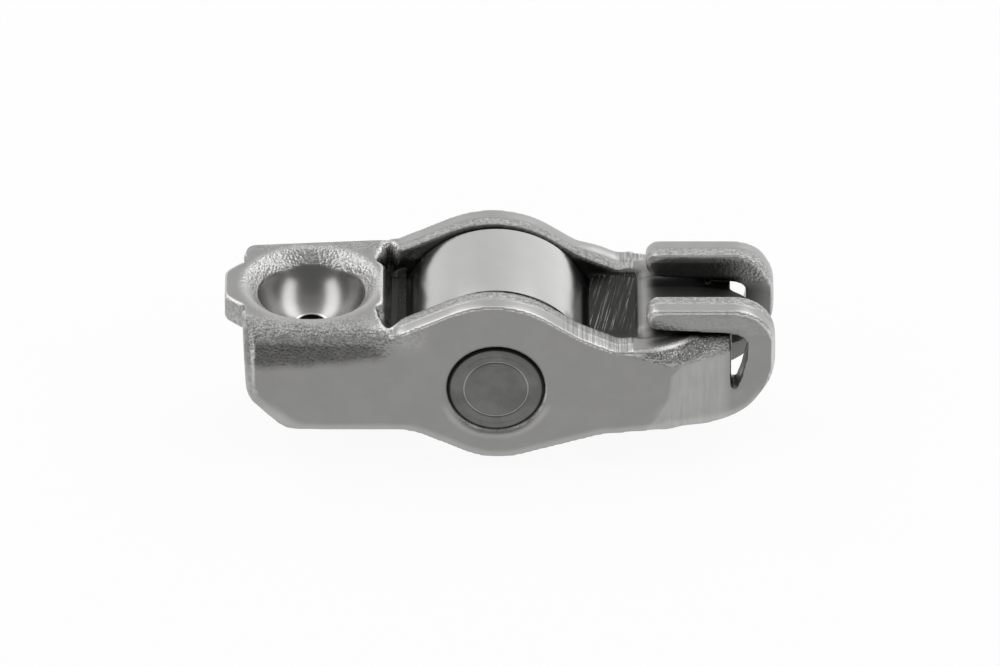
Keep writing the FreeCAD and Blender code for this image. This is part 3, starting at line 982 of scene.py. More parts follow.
@dataclass(frozen=True)
class SteelZones:
    """Where the steel looks cut, bent, worn, shut in from the light or otherwise marked."""

    # Flat tops, which are skin of the sheet and not its cut edge
    web: Zone = Zone(x=(-25.2, -9.0, 0.2), z=(2.65, 6.85, 0.2), flat=(0.55, 0.75))
    pad: Zone = Zone(x=(12.55, 23.7, 0.2), z=(0.3, 4.32, 0.1), flat=(0.55, 0.75))
    floor: Zone = Zone(x=(3.0, 13.05, 0.2), side=(-1.0, 5.525, 0.2), flat=(0.55, 0.75))

    # Cut edges
    edge_on: Zone = Zone(across=(0.5, 0.3))
    tongue: Zone = Zone(x=(-INF, -23.3), z=(2.65, INF))
    tongue_face: Zone = Zone(x=(-INF, -23.3), z=(2.65, INF), up=(0.6, 0.4))
    strip: Zone = Zone(end=(0.75, 0.5), x=(-14.0, -18.0), z=(-4.4, -3.2), side=(6.725, 7.425))
    torn_strip: Zone = Zone(end=(0.75, 0.5), x=(-14.0, -18.0), z=(-1.8, 0.0), side=(6.725, 7.425))
    torn_half: Zone = Zone(depth=(1.5, 1.2))
    striped: Zone = Zone(past_stripe=(-0.8, 0.8), x=(13.9, 13.3), z=(-INF, 7.17), up=(0.3, 0.6))

    # Bends and skin
    cup: Zone = Zone(from_ball=(5.15, 5.21, 5.29, 5.35), height=(-1.81, -2.11))
    lip: Zone = Zone(round_ball=(7.0, 6.0), height=(-2.11, -1.81))
    far_lip: Zone = Zone(0.6, y=(-2.5, 0.5))
    bend: Zone = Zone(above_foot=(-0.5, 0.7), x=(-25.0, -9.6, 0.8), side=(4.6, 6.4), round_ball=(5.9, 6.9))
    # Painted shade band along the lower part of the channel's bend
    shaded_band: Zone = Zone(above_foot=(-0.6, 0.6), x=(-8.6, -12.0), z=(5.3, 4.5), side=(6.425, 7.125))
    brow: Zone = Zone(0.6, x=(-10.8, -6.5, 1.5), z=(3.4, 5.4), across=(0.3, 0.8))
    torn: Zone = Zone(x=(-11.6, -9.4, 0.8), y=(-INF, 0.0), z=(4.6, 5.4), side=(6.9, 8.2, 0.6))
    corner: Zone = Zone(
        above_shoulder=(2.0, 2.5), crest=(-0.45, -0.1), x=(13.15, 22.0, 0.8), z=(-INF, 4.37),
        side=(4.4, 9.0, 0.6),
    )
    smooth_crest: Zone = Zone(0.8, crest=(-0.3, 0.25, 0.2), x=(12.25, 18.6, 0.8), z=(3.3, INF))
    hooks: Zone = Zone(0.35, x=(13.2, INF), z=(4.47, INF))
    outer_face: Zone = Zone(across=(0.6, 0.85), side=(4.425, 5.425))
    pressed: Zone = Zone(0.8, crease=(0.0, 0.3), x=(13.0, 21.2, 1.2))
    brushed: Zone = Zone(crease=(0.2, 0.9), across=(0.6, 0.85), x=(22.0, 19.5), side=(4.425, 5.425))
    # Painted highlight: a lighter band along the walls' lower edges
    lower_rim_highlight: Zone = Zone(0.4, broad=(0.05, 0.5), across=(0.6, 0.85), z=(-1.0, -3.0), side=(4.425, 5.425))

    # Painted shade: places shut in from the light, and concave creases, darkened in colour
    interior: Zone = Zone(x=(-11.5, 13.05, 0.3), z=(5.95, 5.05), side=(-1.0, 5.575, 0.1))
    under: Zone = Zone(z=(3.2, 2.4), side=(-1.0, 5.575, 0.1))
    limb: Zone = Zone(x=(20.6, 21.4), side=(2.9, 3.05))
    limb_shade: Zone = Zone(0.6, x=(20.6, 21.4), z=(5.6, 3.2), side=(2.9, 3.05, 3.3, 3.7), across=(0.5, 0.8))
    between: Zone = Zone(0.7, x=(13.4, 14.9, 20.0, 23.0), z=(2.0, 6.45, 0.3), side=(-1.0, 3.185, 0.1))
    behind: Zone = Zone(x=(13.3, 14.7, 21.6, 23.4), z=(2.6, 5.0, 0.5), side=(2.4, 5.8, 0.8))
    gap_side: Zone = Zone(0.5, x=(-9.4, 13.4, 0.4), z=(0.0, INF), depth=(0.5, 0.15))
    relief: Zone = Zone(relief=(0.0, 0.2), z=(2.4, 5.9, 0.6), side=(4.4, INF))
    # Painted shade in concave creases
    painted_crease_shade: Zone = Zone(curve=(-0.6, -2.0))
    by_pin: Zone = Zone(round_pin=(-INF, 5.2), side=(7.725, INF))
    in_cup: Zone = Zone(round_ball=(-INF, 2.2), height=(-INF, -1.81), from_ball=(-INF, 5.65))

    # Edges rubbed bright with painted highlight, and where there are none, as on edges that face down or lie
    # in shade
    wear_and_highlight: Zone = Zone(curve=(0.55, 1.5))
    # Painted highlight lines along the heel's ridge and the pad's crest
    ridge_line: Zone = Zone(0.6, end=(0.39, 0.71, 0.3), x=(-14.0, -18.0), z=(-2.0, 0.5), side=(6.725, 7.425))
    crest: Zone = Zone(
        0.9, crest=(-0.22, 0.2, 0.24), x=(12.25, 18.6, 0.8), z=(3.3, 3.3, 4.47, 4.47), up=(0.2, INF)
    )
    facing_down: Zone = Zone(0.75, up=(0.05, -0.35))
    belly: Zone = Zone(0.9, x=(-12.0, 20.0, 4.0), z=(-2.0, -3.5))
    slot: Zone = Zone(0.8, x=(20.6, 23.9, 0.6), z=(-1.8, 3.97, 0.6))
    shoulder: Zone = Zone(0.7, x=(13.05, 22.0, 0.6), z=(1.0, 3.92, 0.6), side=(4.0, INF))
    oil_drop: Zone = Zone(round_ball=(-INF, 2.2), height=(-INF, -1.81))
    plain_inside: Zone = Zone(x=(-9.4, 13.4, 0.4), z=(0.0, INF), depth=(0.9, 0.3))


@dataclass
class LeverSheet:
    """The folded sheet: ball cup, humped walls, pad and stem guides in one piece."""

    node: str = "lever_body"
    pressed: PressZones = PressZones()
    steel: SteelZones = SteelZones()

    # Grid and smoothing
    voxel: float = 0.207
    edge_rounds: int = 6
    wear_rounds: int = 3
    pull: float = 0.5
    push: float = 0.45
    normal_rounds: int = 12
    sharpest_bend: float = 24.0
    curve_rounds: int = 3
    broad_rounds: int = 8
    shoulder_rounds: int = 10
    junction_rounds: int = 5
    relief_rounds: int = 4
    heel_rounds: int = 3
    elbow_rounds: int = 8
    end_rounds: int = 45
    tip_rounds: int = 14
    cup_start: tuple[float, float] = (0.4, 0.65)
    cup_reach: float = 0.12
    cup_reach_by_hole: float = 0.6
    by_hole_width: float = 1.2

    # The solid's own sizes
    sheet_thickness: float = 2.8
    half_gap: float = 5.525
    half_width: float = 8.325
    ball_radius: float = 5.25
    mouth_level: float = -1.81
    oil_hole_radius: float = 1.25
    web_height: float = 6.25
    window_back: float = -10.3
    pad_start: float = 12.85
    pad_end: float = 21.5
    pad_height: float = 4.17
    joggle_start: float = 15.8
    joggle_length: float = 4.7
    guide_outer: float = 5.925
    guide_tip: float = 13.7

    # What the press adds to it
    bevel_depth: float = 0.35
    bevel_width: float = 0.75
    bend_radius: float = 3.3
    bend_at_end: float = 2.6
    bend_at_window: float = 1.4
    bend_start: float = -22.0
    bend_length: float = 11.5
    pad_bend: float = 1.8
    ridge_start: float = 12.8
    ridge_slant: float = 0.098
    ridge_span: tuple[float, float] = (5.7, 8.1)
    slot_drop: float = 1.1
    relief_depth: float = 1.7
    heel_push: float = 0.26
    heel_drop: float = 0.2
    belly_drop: float = 0.5
    elbow: tuple[float, float] = (17.26, 2.49)
    elbow_radius: float = 8.26
    far_hook_lift: float = 0.24
    far_saddle_lift: float = 0.42
    pin_sink: float = 0.16
    crease_depth: float = 0.17
    end_push: float = 0.2
    first_stripes: tuple[float, float] = (6.3, 11.4)

    def build(self, finish: SheetFinish, effects: Effects) -> bpy.types.Object:
        """Makes the piece and dresses it.

        Args:
            finish: Its finish.
            effects: The shared node groups.

        Returns:
            The piece, riding on the arm.
        """
        piece = self.remeshed()
        fine = FineMesh(piece.data)
        fine.relax(self.edge_rounds, self.pull, self.push)
        fine.soften(self.wear_rounds, np.ones(len(fine.points)))
        fine.write_back()
        self.press(fine, fine.normals())
        self.true_cup(fine)
        fine.write_back()
        normals = fine.steadied(fine.normals(), self.normal_rounds, self.sharpest_bend)
        self.mark_steel(fine, normals)
        shade_smooth(piece.data)
        piece.data.normals_split_custom_set_from_vertices(normals.tolist())
        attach(piece, "arm")
        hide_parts(self.node)
        return dressed(piece, finish.material(effects))

    def remeshed(self) -> bpy.types.Object:
        """The frame's solid as an even grid of small faces.

        Returns:
            The new object.
        """
        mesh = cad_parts[self.node].data.copy()
        mesh.materials.clear()
        welded = bmesh.new()
        welded.from_mesh(mesh)
        bmesh.ops.remove_doubles(welded, verts=welded.verts, dist=MM / 1000.0)
        welded.to_mesh(mesh)
        welded.free()
        piece = new_object("lever_sheet", mesh)
        grid = piece.modifiers.new("even_grid", "REMESH")
        grid.mode = "VOXEL"
        grid.voxel_size = self.voxel * MM
        snug = piece.modifiers.new("onto_solid", "SHRINKWRAP")
        snug.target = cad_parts[self.node]
        evaluated = piece.evaluated_get(bpy.context.evaluated_depsgraph_get())
        piece.data = bpy.data.meshes.new_from_object(evaluated)
        piece.modifiers.clear()
        return piece

    def true_cup(self, fine: FineMesh) -> None:
        """Puts the points of the ball cup on an exact sphere round the origin.

        Args:
            fine: The sheet's mesh.
        """
        distance = np.linalg.norm(fine.points, axis=1)
        below = smooth_step(self.mouth_level - fine.points[:, 2], *self.cup_start)
        beside_hole = np.hypot(fine.points[:, 0], fine.points[:, 1]) - self.oil_hole_radius
        by_hole = (beside_hole > 0.0) & (beside_hole < self.by_hole_width)
        reach = np.where(by_hole, self.cup_reach_by_hole, self.cup_reach)
        share = smooth_step(np.abs(distance - self.ball_radius), reach, reach / 2.0) * below
        wanted = fine.points / distance[:, None] * self.ball_radius
        fine.points += share[:, None] * (wanted - fine.points)

    def from_axle(self, fine: FineMesh) -> tuple[np.ndarray, np.ndarray, np.ndarray]:
        """X and Z of every point from the roller's axle, and its distance from the middle plane."""
        centre = axle_centre()
        return fine.points[:, 0] - centre.x, fine.points[:, 2] - centre.z, np.abs(fine.points[:, 1])

    def ridge(self, x: np.ndarray) -> np.ndarray:
        """Distance from the middle plane at which the pad's top begins to fall towards its side."""
        slant = self.ridge_slant * np.maximum(x - self.ridge_start, 0.0) ** 2
        return np.clip(self.ridge_span[1] - slant, *self.ridge_span)

    def bend_foot(self, x: np.ndarray) -> np.ndarray:
        """Height at which the channel's bend ends on the wall: rising to the window, with a faint ripple."""
        rise = np.maximum(x - self.bend_start, 0.0)
        ripple = 0.06 * np.sin(1.9 * x) + 0.03 * np.sin(4.3 * x + 1.0)
        return 2.35 + 0.035 * rise + 0.0045 * rise * rise + ripple

    def measures(self, fine: FineMesh, normals: np.ndarray) -> Measures:
        """Everything that the zones ask of the sheet's points, in millimetres where it is a length.

        Args:
            fine: The sheet's mesh.
            normals: Its point normals.

        Returns:
            Arrays by name. x and z start at the roller's axle, y at the middle plane, height at the ball's
            centre. side is the distance from the middle plane, depth that from the sheet's inner face.
            from_ball, round_ball and round_pin are distances from the ball's centre, its upright axis and
            the roller's axle. across, up and flat say which way the surface faces. heel, end, crease and
            relief are distances inside the cut-off heel, the channel's end, the joggle's pressed field and
            the relief at the web's front corner. crest is how far outside the pad's ridge a point lies,
            above_foot and above_shoulder how far above the bend's foot and the pad's shoulder, and
            past_stripe how far past the first stripe of the cut edge.
        """
        x, z, side = self.from_axle(fine)
        y = fine.points[:, 1]
        hook = (x > self.joggle_start) | ((x > self.guide_tip - 0.4) & (z > self.pad_height + 0.3))
        heel = (x + 22.65) * 0.745 + (z + 0.52) * 0.667
        low = np.minimum(z, 0.0)
        joggle = x - (15.72 + 0.1 * z - 0.1 * low * low + 0.9 * np.maximum(z - 1.3, 0.0))
        behind_relief = (x + 11.0 - 0.3545 * (side - 4.1)) * 0.9425
        before_relief = (0.542 * (7.4 - side) - 9.83 - x) * 0.879
        return {
            "x": x,
            "y": y,
            "z": z,
            "side": side,
            "height": fine.points[:, 2],
            "from_ball": np.linalg.norm(fine.points, axis=1),
            "round_ball": np.hypot(fine.points[:, 0], y),
            "round_pin": np.hypot(x, z),
            "across": np.abs(normals[:, 1]),
            "up": normals[:, 2],
            "flat": np.abs(normals[:, 2]),
            "depth": side - np.where(hook, self.guide_outer - self.sheet_thickness, self.half_gap),
            "heel": heel,
            "end": np.minimum(x + 22.67 + 0.046 * z, heel),
            "crease": np.minimum(joggle * 0.8, self.pad_height - 1.8 - z),
            "relief": np.minimum(behind_relief, before_relief),
            "crest": side - self.ridge(x),
            "above_foot": z - self.bend_foot(x),
            "above_shoulder": z - 1.1 * smooth_step(x, 17.0, 12.5),
            "past_stripe": x - np.where(y < 0.0, *self.first_stripes),
        }

    def tightened_bend(self, fine: FineMesh) -> None:
        """Makes the channel's bends rounder at the end and sharper towards the window.

        Args:
            fine: The sheet's mesh.
        """
        x, z, side = self.from_axle(fine)
        across, up = side - (self.half_width - self.bend_radius), z - (self.web_height - self.bend_radius)
        share = np.clip((x - self.bend_start) / self.bend_length, 0.0, 1.0)
        radius = self.bend_at_end + (self.bend_at_window - self.bend_at_end) * share
        length = np.maximum(np.hypot(across, up), 0.001)
        sine, cosine = np.clip(up / length, 0.001, 1.0), np.clip(across / length, 0.001, 1.0)
        centre = self.bend_radius - radius
        reach = (sine + cosine) * centre
        on_arc = reach + np.sqrt(np.maximum(reach * reach - 2.0 * centre * centre + radius * radius, 0.0))
        wall = np.where(self.bend_radius * sine / cosine < centre, self.bend_radius / cosine, on_arc)
        outline = np.where(self.bend_radius * cosine / sine < centre, self.bend_radius / sine, wall)
        skin = smooth_step(length, self.bend_radius - 0.8, self.bend_radius - 0.2) * (across > 0.0)
        skin *= smooth_step(x, self.window_back + 1.6, self.window_back + 0.9) * (up > 0.0)
        shift = np.clip(outline - length, 0.0, outline - self.bend_radius) * skin
        self.push_out(fine, shift * cosine, shift * sine)

    def slanted_shoulder(self, fine: FineMesh) -> None:
        """Turns the pad's rounded sides into shoulders that fall from a slanting ridge to the walls.

        Args:
            fine: The sheet's mesh.
        """
        x, z, side = self.from_axle(fine)
        radius = self.pad_bend
        joggled = np.clip((x - self.joggle_start) / self.joggle_length, 0.0, 1.0)
        outer = self.half_width - (self.half_width - self.guide_outer) * joggled
        across, up = side - (outer - radius), z - (self.pad_height - radius)
        length = np.maximum(np.hypot(across, up), 0.001)
        sine, cosine = np.clip(up / length, 0.01, 1.0), np.clip(across / length, 0.01, 1.0)
        slope = (self.ridge(x) - (outer - radius) + radius) / (sine + cosine)
        outline = np.minimum(np.minimum(radius / cosine, radius / sine), slope)
        skin = smooth_step(np.abs(length - radius), 0.45, 0.2) * (across > 0.0) * (up > 0.0)
        skin *= smooth_step(x, self.pad_start - 0.05, self.pad_start + 0.1) * (x < self.pad_end + 0.1)
        shift = (outline - radius) * skin
        self.push_out(fine, shift * cosine, shift * sine)

    def push_out(self, fine: FineMesh, outward: np.ndarray, upward: np.ndarray) -> None:
        """Moves points away from the middle plane and up."""
        fine.points[:, 1] += np.sign(fine.points[:, 1]) * outward
        fine.points[:, 2] += upward

    def press(self, fine: FineMesh, normals: np.ndarray) -> None:
        """Shapes what the press leaves beside the plain form: bends, bevelled end, shoulders and creases.

        Args:
            fine: The sheet's mesh.
            normals: Its point normals.
        """
        self.tightened_bend(fine)
        at, zones = self.measures(fine, normals), self.pressed
        bevel = np.clip(1.0 - at["end"] / self.bevel_width, 0.0, 1.0) * zones.bevelled_end.share(at)
        self.push_out(fine, -self.bevel_depth * bevel, 0.0)
        self.slanted_shoulder(fine)
        fine.points[:, 2] -= self.slot_drop * zones.slot.share(at)
        fine.soften(self.shoulder_rounds, zones.shoulder.share(at))
        fine.soften(self.junction_rounds, zones.junction.share(at))
        fine.points[:, 2] -= self.relief_depth * zones.relief.share(at)
        fine.soften(self.relief_rounds, zones.by_relief.share(at))
        fine.soften(self.heel_rounds, zones.heel.share(at))
        fine.points[:, 0] -= self.heel_push * zones.heel_skin.share(at)
        fine.points[:, 2] -= self.heel_drop * zones.heel_foot.share(at)
        fine.points[:, 2] -= self.belly_drop * zones.belly.share(at)

        at = self.measures(fine, normals)
        along, rise = at["x"] - self.elbow[0], at["z"] - self.elbow[1]
        from_elbow = np.maximum(np.hypot(along, rise), 0.001)
        beyond = np.maximum(from_elbow - self.elbow_radius, 0.0) * zones.beyond_elbow.share(at)
        fine.points[:, 0] -= beyond * along / from_elbow
        fine.points[:, 2] -= beyond * rise / from_elbow
        fine.soften(self.elbow_rounds, zones.elbow.share(at))
        fine.points[:, 2] += self.far_hook_lift * zones.far_hook.share(at)
        fine.points[:, 2] += self.far_saddle_lift * zones.far_saddle.share(at)
        sunk = self.pin_sink * zones.pin_hole.share(at) + self.crease_depth * zones.joggle_field.share(at)
        self.push_out(fine, -sunk, 0.0)
        fine.points[:, 0] -= self.end_push * zones.end_face.share(at)
        fine.soften(self.end_rounds, zones.end_corner.share(at))
        fine.soften(self.shoulder_rounds, zones.pad_foot.share(at))
        fine.soften(self.tip_rounds, zones.hook_tip.share(at))

    def mark_steel(self, fine: FineMesh, normals: np.ndarray) -> None:
        """Writes every mark from where a point is and which way it faces.

        Args:
            fine: The sheet's mesh.
            normals: Its steadied point normals.
        """
        at = self.measures(fine, normals)
        bulge = fine.points - fine.mean(fine.points)
        curve = 4.0 * np.einsum("ij,ij->i", bulge, normals) / self.voxel ** 2
        at["curve"] = fine.averaged(curve, self.curve_rounds)
        at["broad"] = fine.averaged(np.clip(at["curve"], 0.0, 2.0), self.broad_rounds)
        share = SimpleNamespace(**{name: zone.share(at) for name, zone in vars(self.steel).items()})

        skin = 1.0 - largest(share.web, share.pad, share.floor)
        cut = largest(share.edge_on * skin, share.tongue_face) * (1.0 - share.cup)
        cut = largest(cut, 0.5 * share.strip)
        whole = 1.0 - cut
        torn = share.torn * whole
        fracture = largest(cut * share.torn_half, share.torn_strip, 0.8 * share.tongue * cut, 0.6 * torn)

        lip = share.lip * (1.0 - share.cup)
        on_bend = share.bend * (1.0 - lip)
        peel = largest(share.bend, lip, share.brow, share.corner) * whole * (1.0 - share.smooth_crest)
        peel = largest(peel, torn) * (1.0 - lip * (1.0 - share.far_lip)) * (1.0 + 0.2 * on_bend)
        peel = largest(peel, share.hooks * whole)

        # Painted shade: recesses, the space under and between the hooks, and concave creases take a dark
        # colour, except in the cup and by the pin
        under = share.under * (1.0 - share.limb)
        painted_shade_share = largest(share.interior, under, share.between, share.behind, share.gap_side)
        painted_shade_share = largest(painted_shade_share * (1.0 - share.cup), share.limb_shade, share.relief)
        open_place = 1.0 - largest(share.by_pin, share.in_cup)

        # Edge mask: rubbed edges with painted highlight, cut back in painted shade and where edges face down,
        # plus the painted highlight lines
        edge = share.wear_and_highlight * (1.0 - 0.8 * painted_shade_share) * (1.0 - 0.6 * share.strip)
        for quiet in ("facing_down", "belly", "slot", "shoulder", "behind", "oil_drop", "plain_inside"):
            edge *= 1.0 - getattr(share, quiet)
        edge = fine.averaged(largest(edge, share.ridge_line, share.crest), 1)

        marks = {
            Mark.CUT: cut,
            Mark.FRACTURE: fracture,
            Mark.STRIPED: cut * share.striped,
            Mark.PEEL: peel,
            Mark.MATT: on_bend,
            # Painted highlight on the cup's lip and the walls' lower edges
            Mark.LIP: largest(lip, share.lower_rim_highlight * (1.0 - share.shaded_band)),
            Mark.DULL: share.shaded_band,
            Mark.EDGE: largest(edge, 0.5 * torn),
            Mark.HOLLOW: largest(painted_shade_share, share.painted_crease_shade) * open_place,
            Mark.BRUSHED: share.brushed,
            Mark.CUP: share.cup,
            Mark.GOUGED: share.floor * whole,
            # Sideways faces of the walls, darker in colour as painted shade
            Mark.IRONED: share.outer_face * (1.0 - 0.7 * peel) * (1.0 - share.pressed),
        }
        for mark, values in marks.items():
            fine.put_mark(mark, values)


@dataclass
class CamRoller:
    """Hardened roller with rounded rims and a plain bore for the needles."""

    rim_round: float = 0.15
    bore_round: float = 0.25
    turns: int = 256
    bore_radius: float = 6.024
    rim_painted_shade: float = 0.9

    def build(self, finish: TurnedFinish, effects: Effects) -> bpy.types.Object:
        """Makes the piece and dresses it.

        Args:
            finish: Its finish.
            effects: The shared node groups.

        Returns:
            The piece, riding on the roller's body.
        """
        centre, radius, half = turned_size("cam_roller")
        r, b = self.rim_round, self.bore_round
        profile = [(radius, 0.0), (radius, half / 2)]
        profile += arc((radius - r, half - r), r, 0.0, 90.0, 8)
        profile += [(radius * 0.9, half), (self.bore_radius + 2 * b, half)]
        profile += arc((self.bore_radius + b, half - b), b, 90.0, 180.0, 6)
        mesh = turned_mesh("cam_roller_ring", profile, self.turns, centre, closed=True)
        fine = FineMesh(mesh)
        out = np.hypot(fine.points[:, 0] - centre.x, fine.points[:, 2] - centre.z)
        # Painted shade at the rims, where the roller runs close to the walls
        rim = (out > radius - 1.0) & (np.abs(fine.points[:, 1] - centre.y) > half - 0.9 * r)
        fine.put_mark(Mark.EDGE, np.zeros(len(out)))
        fine.put_mark(Mark.HOLLOW, self.rim_painted_shade * rim)
        piece = new_object("cam_roller_ring", mesh)
        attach(piece, "roller")
        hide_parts("cam_roller")
        return dressed(piece, finish.material(effects))


@dataclass
class StakedPin:
    """Pin of the roller, swelled into the walls by a ring punch at each end."""

    rim_round: float = 0.3
    flare: float = 0.17
    flare_depth: float = 0.4
    ring_radius: float = 2.92
    ring_width: float = 0.34
    ring_depth: float = 0.07
    faint_ring_radius: float = 3.6
    faint_ring_depth: float = 0.03
    faintness: float = 0.35
    bright_width: float = 0.12
    turns: int = 192

    def groove(self, radius: float, width: float, depth: float, face: float) -> Profile:
        """Rounded ring groove in the end face.

        Args:
            radius: Radius of the groove's middle.
            width: Its width.
            depth: Its depth.
            face: Y of the end face.

        Returns:
            Points from the outer side inwards.
        """
        shares = [i / 8 for i in range(9)]
        dips = [depth * 0.5 * (1.0 - math.cos(2.0 * math.pi * s)) for s in shares]
        return [(radius + width * (0.5 - s), face - dip) for s, dip in zip(shares, dips)]

    def build(self, finish: TurnedFinish, effects: Effects) -> bpy.types.Object:
        """Makes the piece and dresses it.

        Args:
            finish: Its finish.
            effects: The shared node groups.

        Returns:
            The piece, riding on the arm.
        """
        rim, face = turned_size("axle_pin")[1:]
        shank = rim - self.flare
        profile = [(shank, 0.0), (shank, face / 2), (shank, face - self.flare_depth - self.flare)]
        profile += [(rim, face - self.flare_depth + self.flare / 2)]
        profile += arc((rim - self.rim_round, face - self.rim_round), self.rim_round, 0.0, 90.0, 6)
        profile += self.groove(self.faint_ring_radius, self.ring_width, self.faint_ring_depth, face)
        profile += self.groove(self.ring_radius, self.ring_width, self.ring_depth, face)
        profile += [(self.ring_radius / 2, face), (0.0, face)]
        mesh = turned_mesh("staked_pin", profile, self.turns, axle_centre())
        self.mark_face(mesh, rim)
        piece = new_object("staked_pin", mesh)
        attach(piece, "arm")
        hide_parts("axle_pin")
        return dressed(piece, finish.material(effects))

    def mark_face(self, mesh: bpy.types.Mesh, rim: float) -> None:
        """Marks the punch's bright rings, and paints shade onto the rim's rounding for the dark gap round the
        rim.

        Args:
            mesh: The pin's mesh.
            rim: Radius of the rim.
        """
        fine = FineMesh(mesh)
        centre = axle_centre()
        radius = np.hypot(fine.points[:, 0] - centre.x, fine.points[:, 2] - centre.z)
        width = self.bright_width
        ring = within(radius - self.ring_radius, -width / 2, width / 2, width)
        faint = within(radius - self.faint_ring_radius, -width / 2, width / 2, width)
        # Painted shade of the gap between the pin and its hole
        dark = smooth_step(radius, rim - self.rim_round - 0.02, rim - self.rim_round * 0.6)
        fine.put_mark(Mark.EDGE, largest(ring, self.faintness * faint))
        fine.put_mark(Mark.HOLLOW, dark)


@dataclass
class NeedleSet:
    """Full complement of needles between the pin and the roller, with rounded ends."""

    end_round: float = 0.35
    turns: int = 28

    def build(self, finish: TurnedFinish, effects: Effects) -> bpy.types.Object:
        """Makes the piece and dresses it.

        Args:
            finish: Its finish.
            effects: The shared node groups.

        Returns:
            The piece, riding on the needles' own body.
        """
        names = sorted(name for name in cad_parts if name.startswith("needle_"))
        joined = bmesh.new()
        for name in names:
            centre, radius, half = turned_size(name)
            r = self.end_round
            profile = [(radius, 0.0)] + arc((radius - r, half - r), r, 0.0, 90.0, 5) + [(0.0, half)]
            one = turned_mesh(name, profile, self.turns, centre)
            joined.from_mesh(one)
            bpy.data.meshes.remove(one)
        mesh = bpy.data.meshes.new("needle_complement")
        joined.to_mesh(mesh)
        joined.free()
        shade_smooth(mesh)
        piece = new_object("needle_complement", mesh)
        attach(piece, "needle_set")
        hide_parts(*names)
        return dressed(piece, finish.material(effects))


# Studio


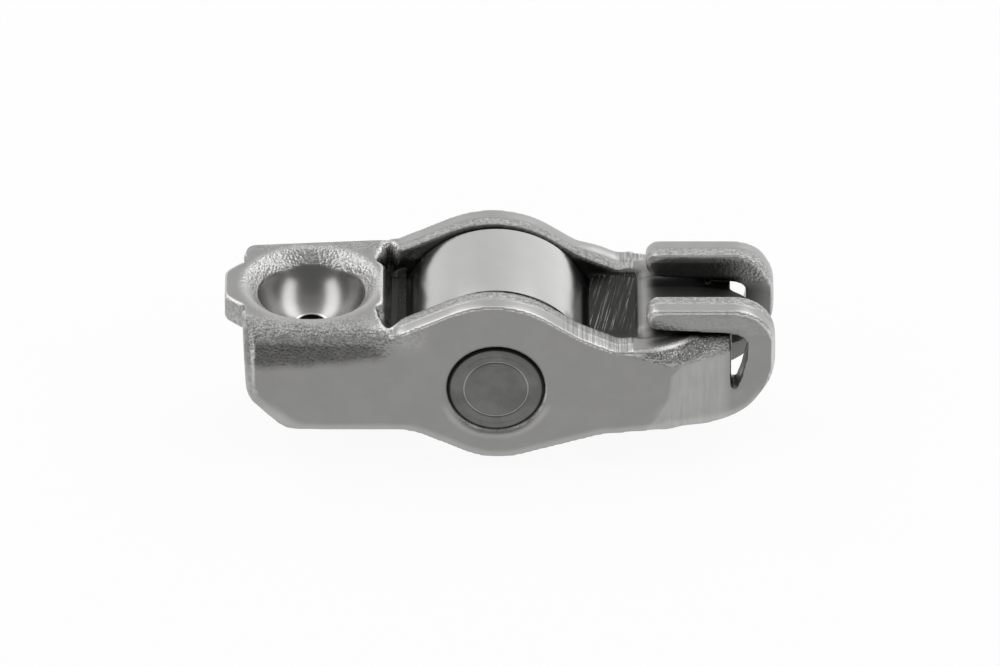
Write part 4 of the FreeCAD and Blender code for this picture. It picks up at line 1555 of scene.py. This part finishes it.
@dataclass
class Studio:
    """Plain pale floor, white surround and soft lamps."""

    floor_size: float = 6.0
    floor_colour: Colour = (0.86, 0.86, 0.86)
    white: Colour = (1.0, 1.0, 1.0)
    white_share: float = 0.93
    world_level: float = 0.5
    ceiling_level: float = 0.35
    front_level: float = 0.2
    side_share: float = 0.45
    splay: float = 0.32
    wall_level: float = 0.8
    left_wall_share: float = 0.84
    lamp_place: Triple = (0.36, 0.05, 0.45)
    lamp_size: tuple[float, float] = (0.26, 1.0)
    lamp_watts: float = 1.5

    def cleared(self, tree: bpy.types.NodeTree) -> Wiring:
        """Wiring of a tree that is emptied first."""
        tree.nodes.clear()
        return Wiring(tree)

    def seen_directly(self, w: Wiring) -> bpy.types.NodeSocket:
        """1 for rays that show the surround itself: from the camera, a reflection or a refraction."""
        path = w.add("ShaderNodeLightPath").outputs
        seen = w.maths("MAXIMUM", path["Is Camera Ray"], path["Is Glossy Ray"])
        return w.maths("MAXIMUM", seen, path["Is Transmission Ray"])

    def mixed(self, w: Wiring, share: object, shaders: tuple[bpy.types.Node, ...], end: str) -> None:
        """Mixes two shaders into the tree's end.

        Args:
            w: The tree's wiring.
            share: How much of the second shader is seen.
            shaders: The two shader nodes.
            end: Type name of the output node.
        """
        mix = w.add("ShaderNodeMixShader")
        for socket, source in zip(mix.inputs, (share, *(node.outputs[0] for node in shaders))):
            w.feed(socket, source)
        w.feed(w.add(end).inputs["Surface"], mix.outputs[0])

    def floor(self) -> bpy.types.Object:
        """Floor under the roller's lowest point.

        Returns:
            The floor, declared as stage.
        """
        low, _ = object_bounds()
        built = bmesh.new()
        bmesh.ops.create_grid(built, x_segments=1, y_segments=1, size=self.floor_size / 2)
        mesh = bpy.data.meshes.new("studio_floor")
        built.to_mesh(mesh)
        built.free()
        floor = new_object("studio_floor", mesh)
        floor.location.z = low.z
        material = bpy.data.materials.new("studio_paper")
        material.use_nodes = True
        w = self.cleared(material.node_tree)
        paper = w.add("ShaderNodeBsdfDiffuse")
        paper.inputs["Color"].default_value = rgba(self.floor_colour)
        glow = w.add("ShaderNodeEmission")
        glow.inputs["Color"].default_value = rgba(self.white)
        share = w.times(self.seen_directly(w), self.white_share)
        self.mixed(w, share, (paper, glow), "ShaderNodeOutputMaterial")
        mesh.materials.append(material)
        floor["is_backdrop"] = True
        return floor

    def shown(self, w: Wiring) -> bpy.types.NodeSocket:
        """Brightness of the room that steel mirrors: a pale wall behind, a darker room before and above.

        Args:
            w: The world's wiring.

        Returns:
            The strength, 1 for a ray from the camera.
        """
        sides = w.apart(w.add("ShaderNodeTexCoord").outputs["Generated"])
        wall = w.between(w.remap(sides["Z"], 0.0, 0.55), 1.0, self.wall_level)
        wall = w.times(wall, w.between(w.remap(sides["X"], -0.5, 0.5), self.left_wall_share, 1.0))
        before = w.between(w.remap(sides["Y"], -0.1, -0.5), self.ceiling_level, self.front_level)
        room = w.between(w.remap(sides["Y"], 0.0, 0.65), before, wall)
        beside = w.remap(w.maths("ABSOLUTE", sides["X"]), 0.65, 0.9)
        room = w.times(room, w.between(beside, 1.0, self.side_share))
        return w.between(w.add("ShaderNodeLightPath").outputs["Is Camera Ray"], room, 1.0)

    def surround(self) -> None:
        """World that is white where it is seen, shows steel a room, and lights the rest softly."""
        world = bpy.data.worlds.new("studio_surround")
        world.use_nodes = True
        w = self.cleared(world.node_tree)
        light, seen = w.add("ShaderNodeBackground"), w.add("ShaderNodeBackground")
        for node, strength in ((light, self.world_level), (seen, self.shown(w))):
            node.inputs["Color"].default_value = rgba(self.white)
            w.feed(node.inputs["Strength"], strength)
        self.mixed(w, self.seen_directly(w), (light, seen), "ShaderNodeOutputWorld")
        bpy.context.scene.world = world

    def lamp(self, name: str, side: float) -> None:
        """Oblong soft lamp aimed at the object, its long side along Y.

        Args:
            name: Name of the lamp.
            side: -1 for the left one, 1 for the right one.
        """
        low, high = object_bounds()
        data = bpy.data.lights.new(name, "AREA")
        data.shape = "RECTANGLE"
        data.size, data.size_y = self.lamp_size
        data.energy = self.lamp_watts
        lamp = bpy.data.objects.new(name, data)
        bpy.context.scene.collection.objects.link(lamp)
        place = Vector((side * self.lamp_place[0], *self.lamp_place[1:]))
        lamp.location = (low + high) / 2 + place
        lamp.rotation_mode = "QUATERNION"
        ahead = place.normalized()
        across = Vector((-side * self.splay, 1.0, 0.0)).cross(ahead).normalized()
        lamp.rotation_quaternion = Matrix((across, ahead.cross(across), ahead)).transposed().to_quaternion()

    def build(self) -> None:
        """Makes the floor, the surround and the lamps."""
        self.floor()
        self.surround()
        self.lamp("left_softbox", -1.0)
        self.lamp("right_softbox", 1.0)


@dataclass
class PhotoCamera:
    """Camera at the photograph's angle: a long lens, 33 degrees above the level."""

    elevation: float = 33.0
    azimuth: float = 0.0
    distance: float = 1.2
    lens: float = 471.0
    sensor: float = 36.0
    target: tuple[float, float, float] = (17.27, 0.0, -6.26)

    def build(self) -> None:
        """Makes the camera and hands it to the scene."""
        data = bpy.data.cameras.new("photo_camera")
        data.sensor_width = self.sensor
        data.lens = self.lens
        data.clip_start, data.clip_end = 0.01, 20.0
        camera = bpy.data.objects.new("photo_camera", data)
        bpy.context.scene.collection.objects.link(camera)
        a, e = math.radians(self.azimuth), math.radians(self.elevation)
        back = Vector((math.sin(a) * math.cos(e), -math.cos(a) * math.cos(e), math.sin(e)))
        camera.location = Vector(self.target) * MM + back * self.distance
        camera.rotation_mode = "QUATERNION"
        camera.rotation_quaternion = (-back).to_track_quat("-Z", "Y")
        bpy.context.scene.camera = camera


def main() -> None:
    """Builds the pieces, the studio and the camera in order."""
    logging.basicConfig(level=logging.INFO, format="%(name)s: %(message)s")
    effects = Effects.built()
    LeverSheet().build(SheetFinish(), effects)
    CamRoller().build(GROUND_STEEL, effects)
    StakedPin().build(DULL_STEEL, effects)
    NeedleSet().build(BRIGHT_STEEL, effects)
    Studio().build()
    PhotoCamera().build()
    bpy.context.scene.view_settings.view_transform = "Standard"


if __name__ == "__main__":
    main()
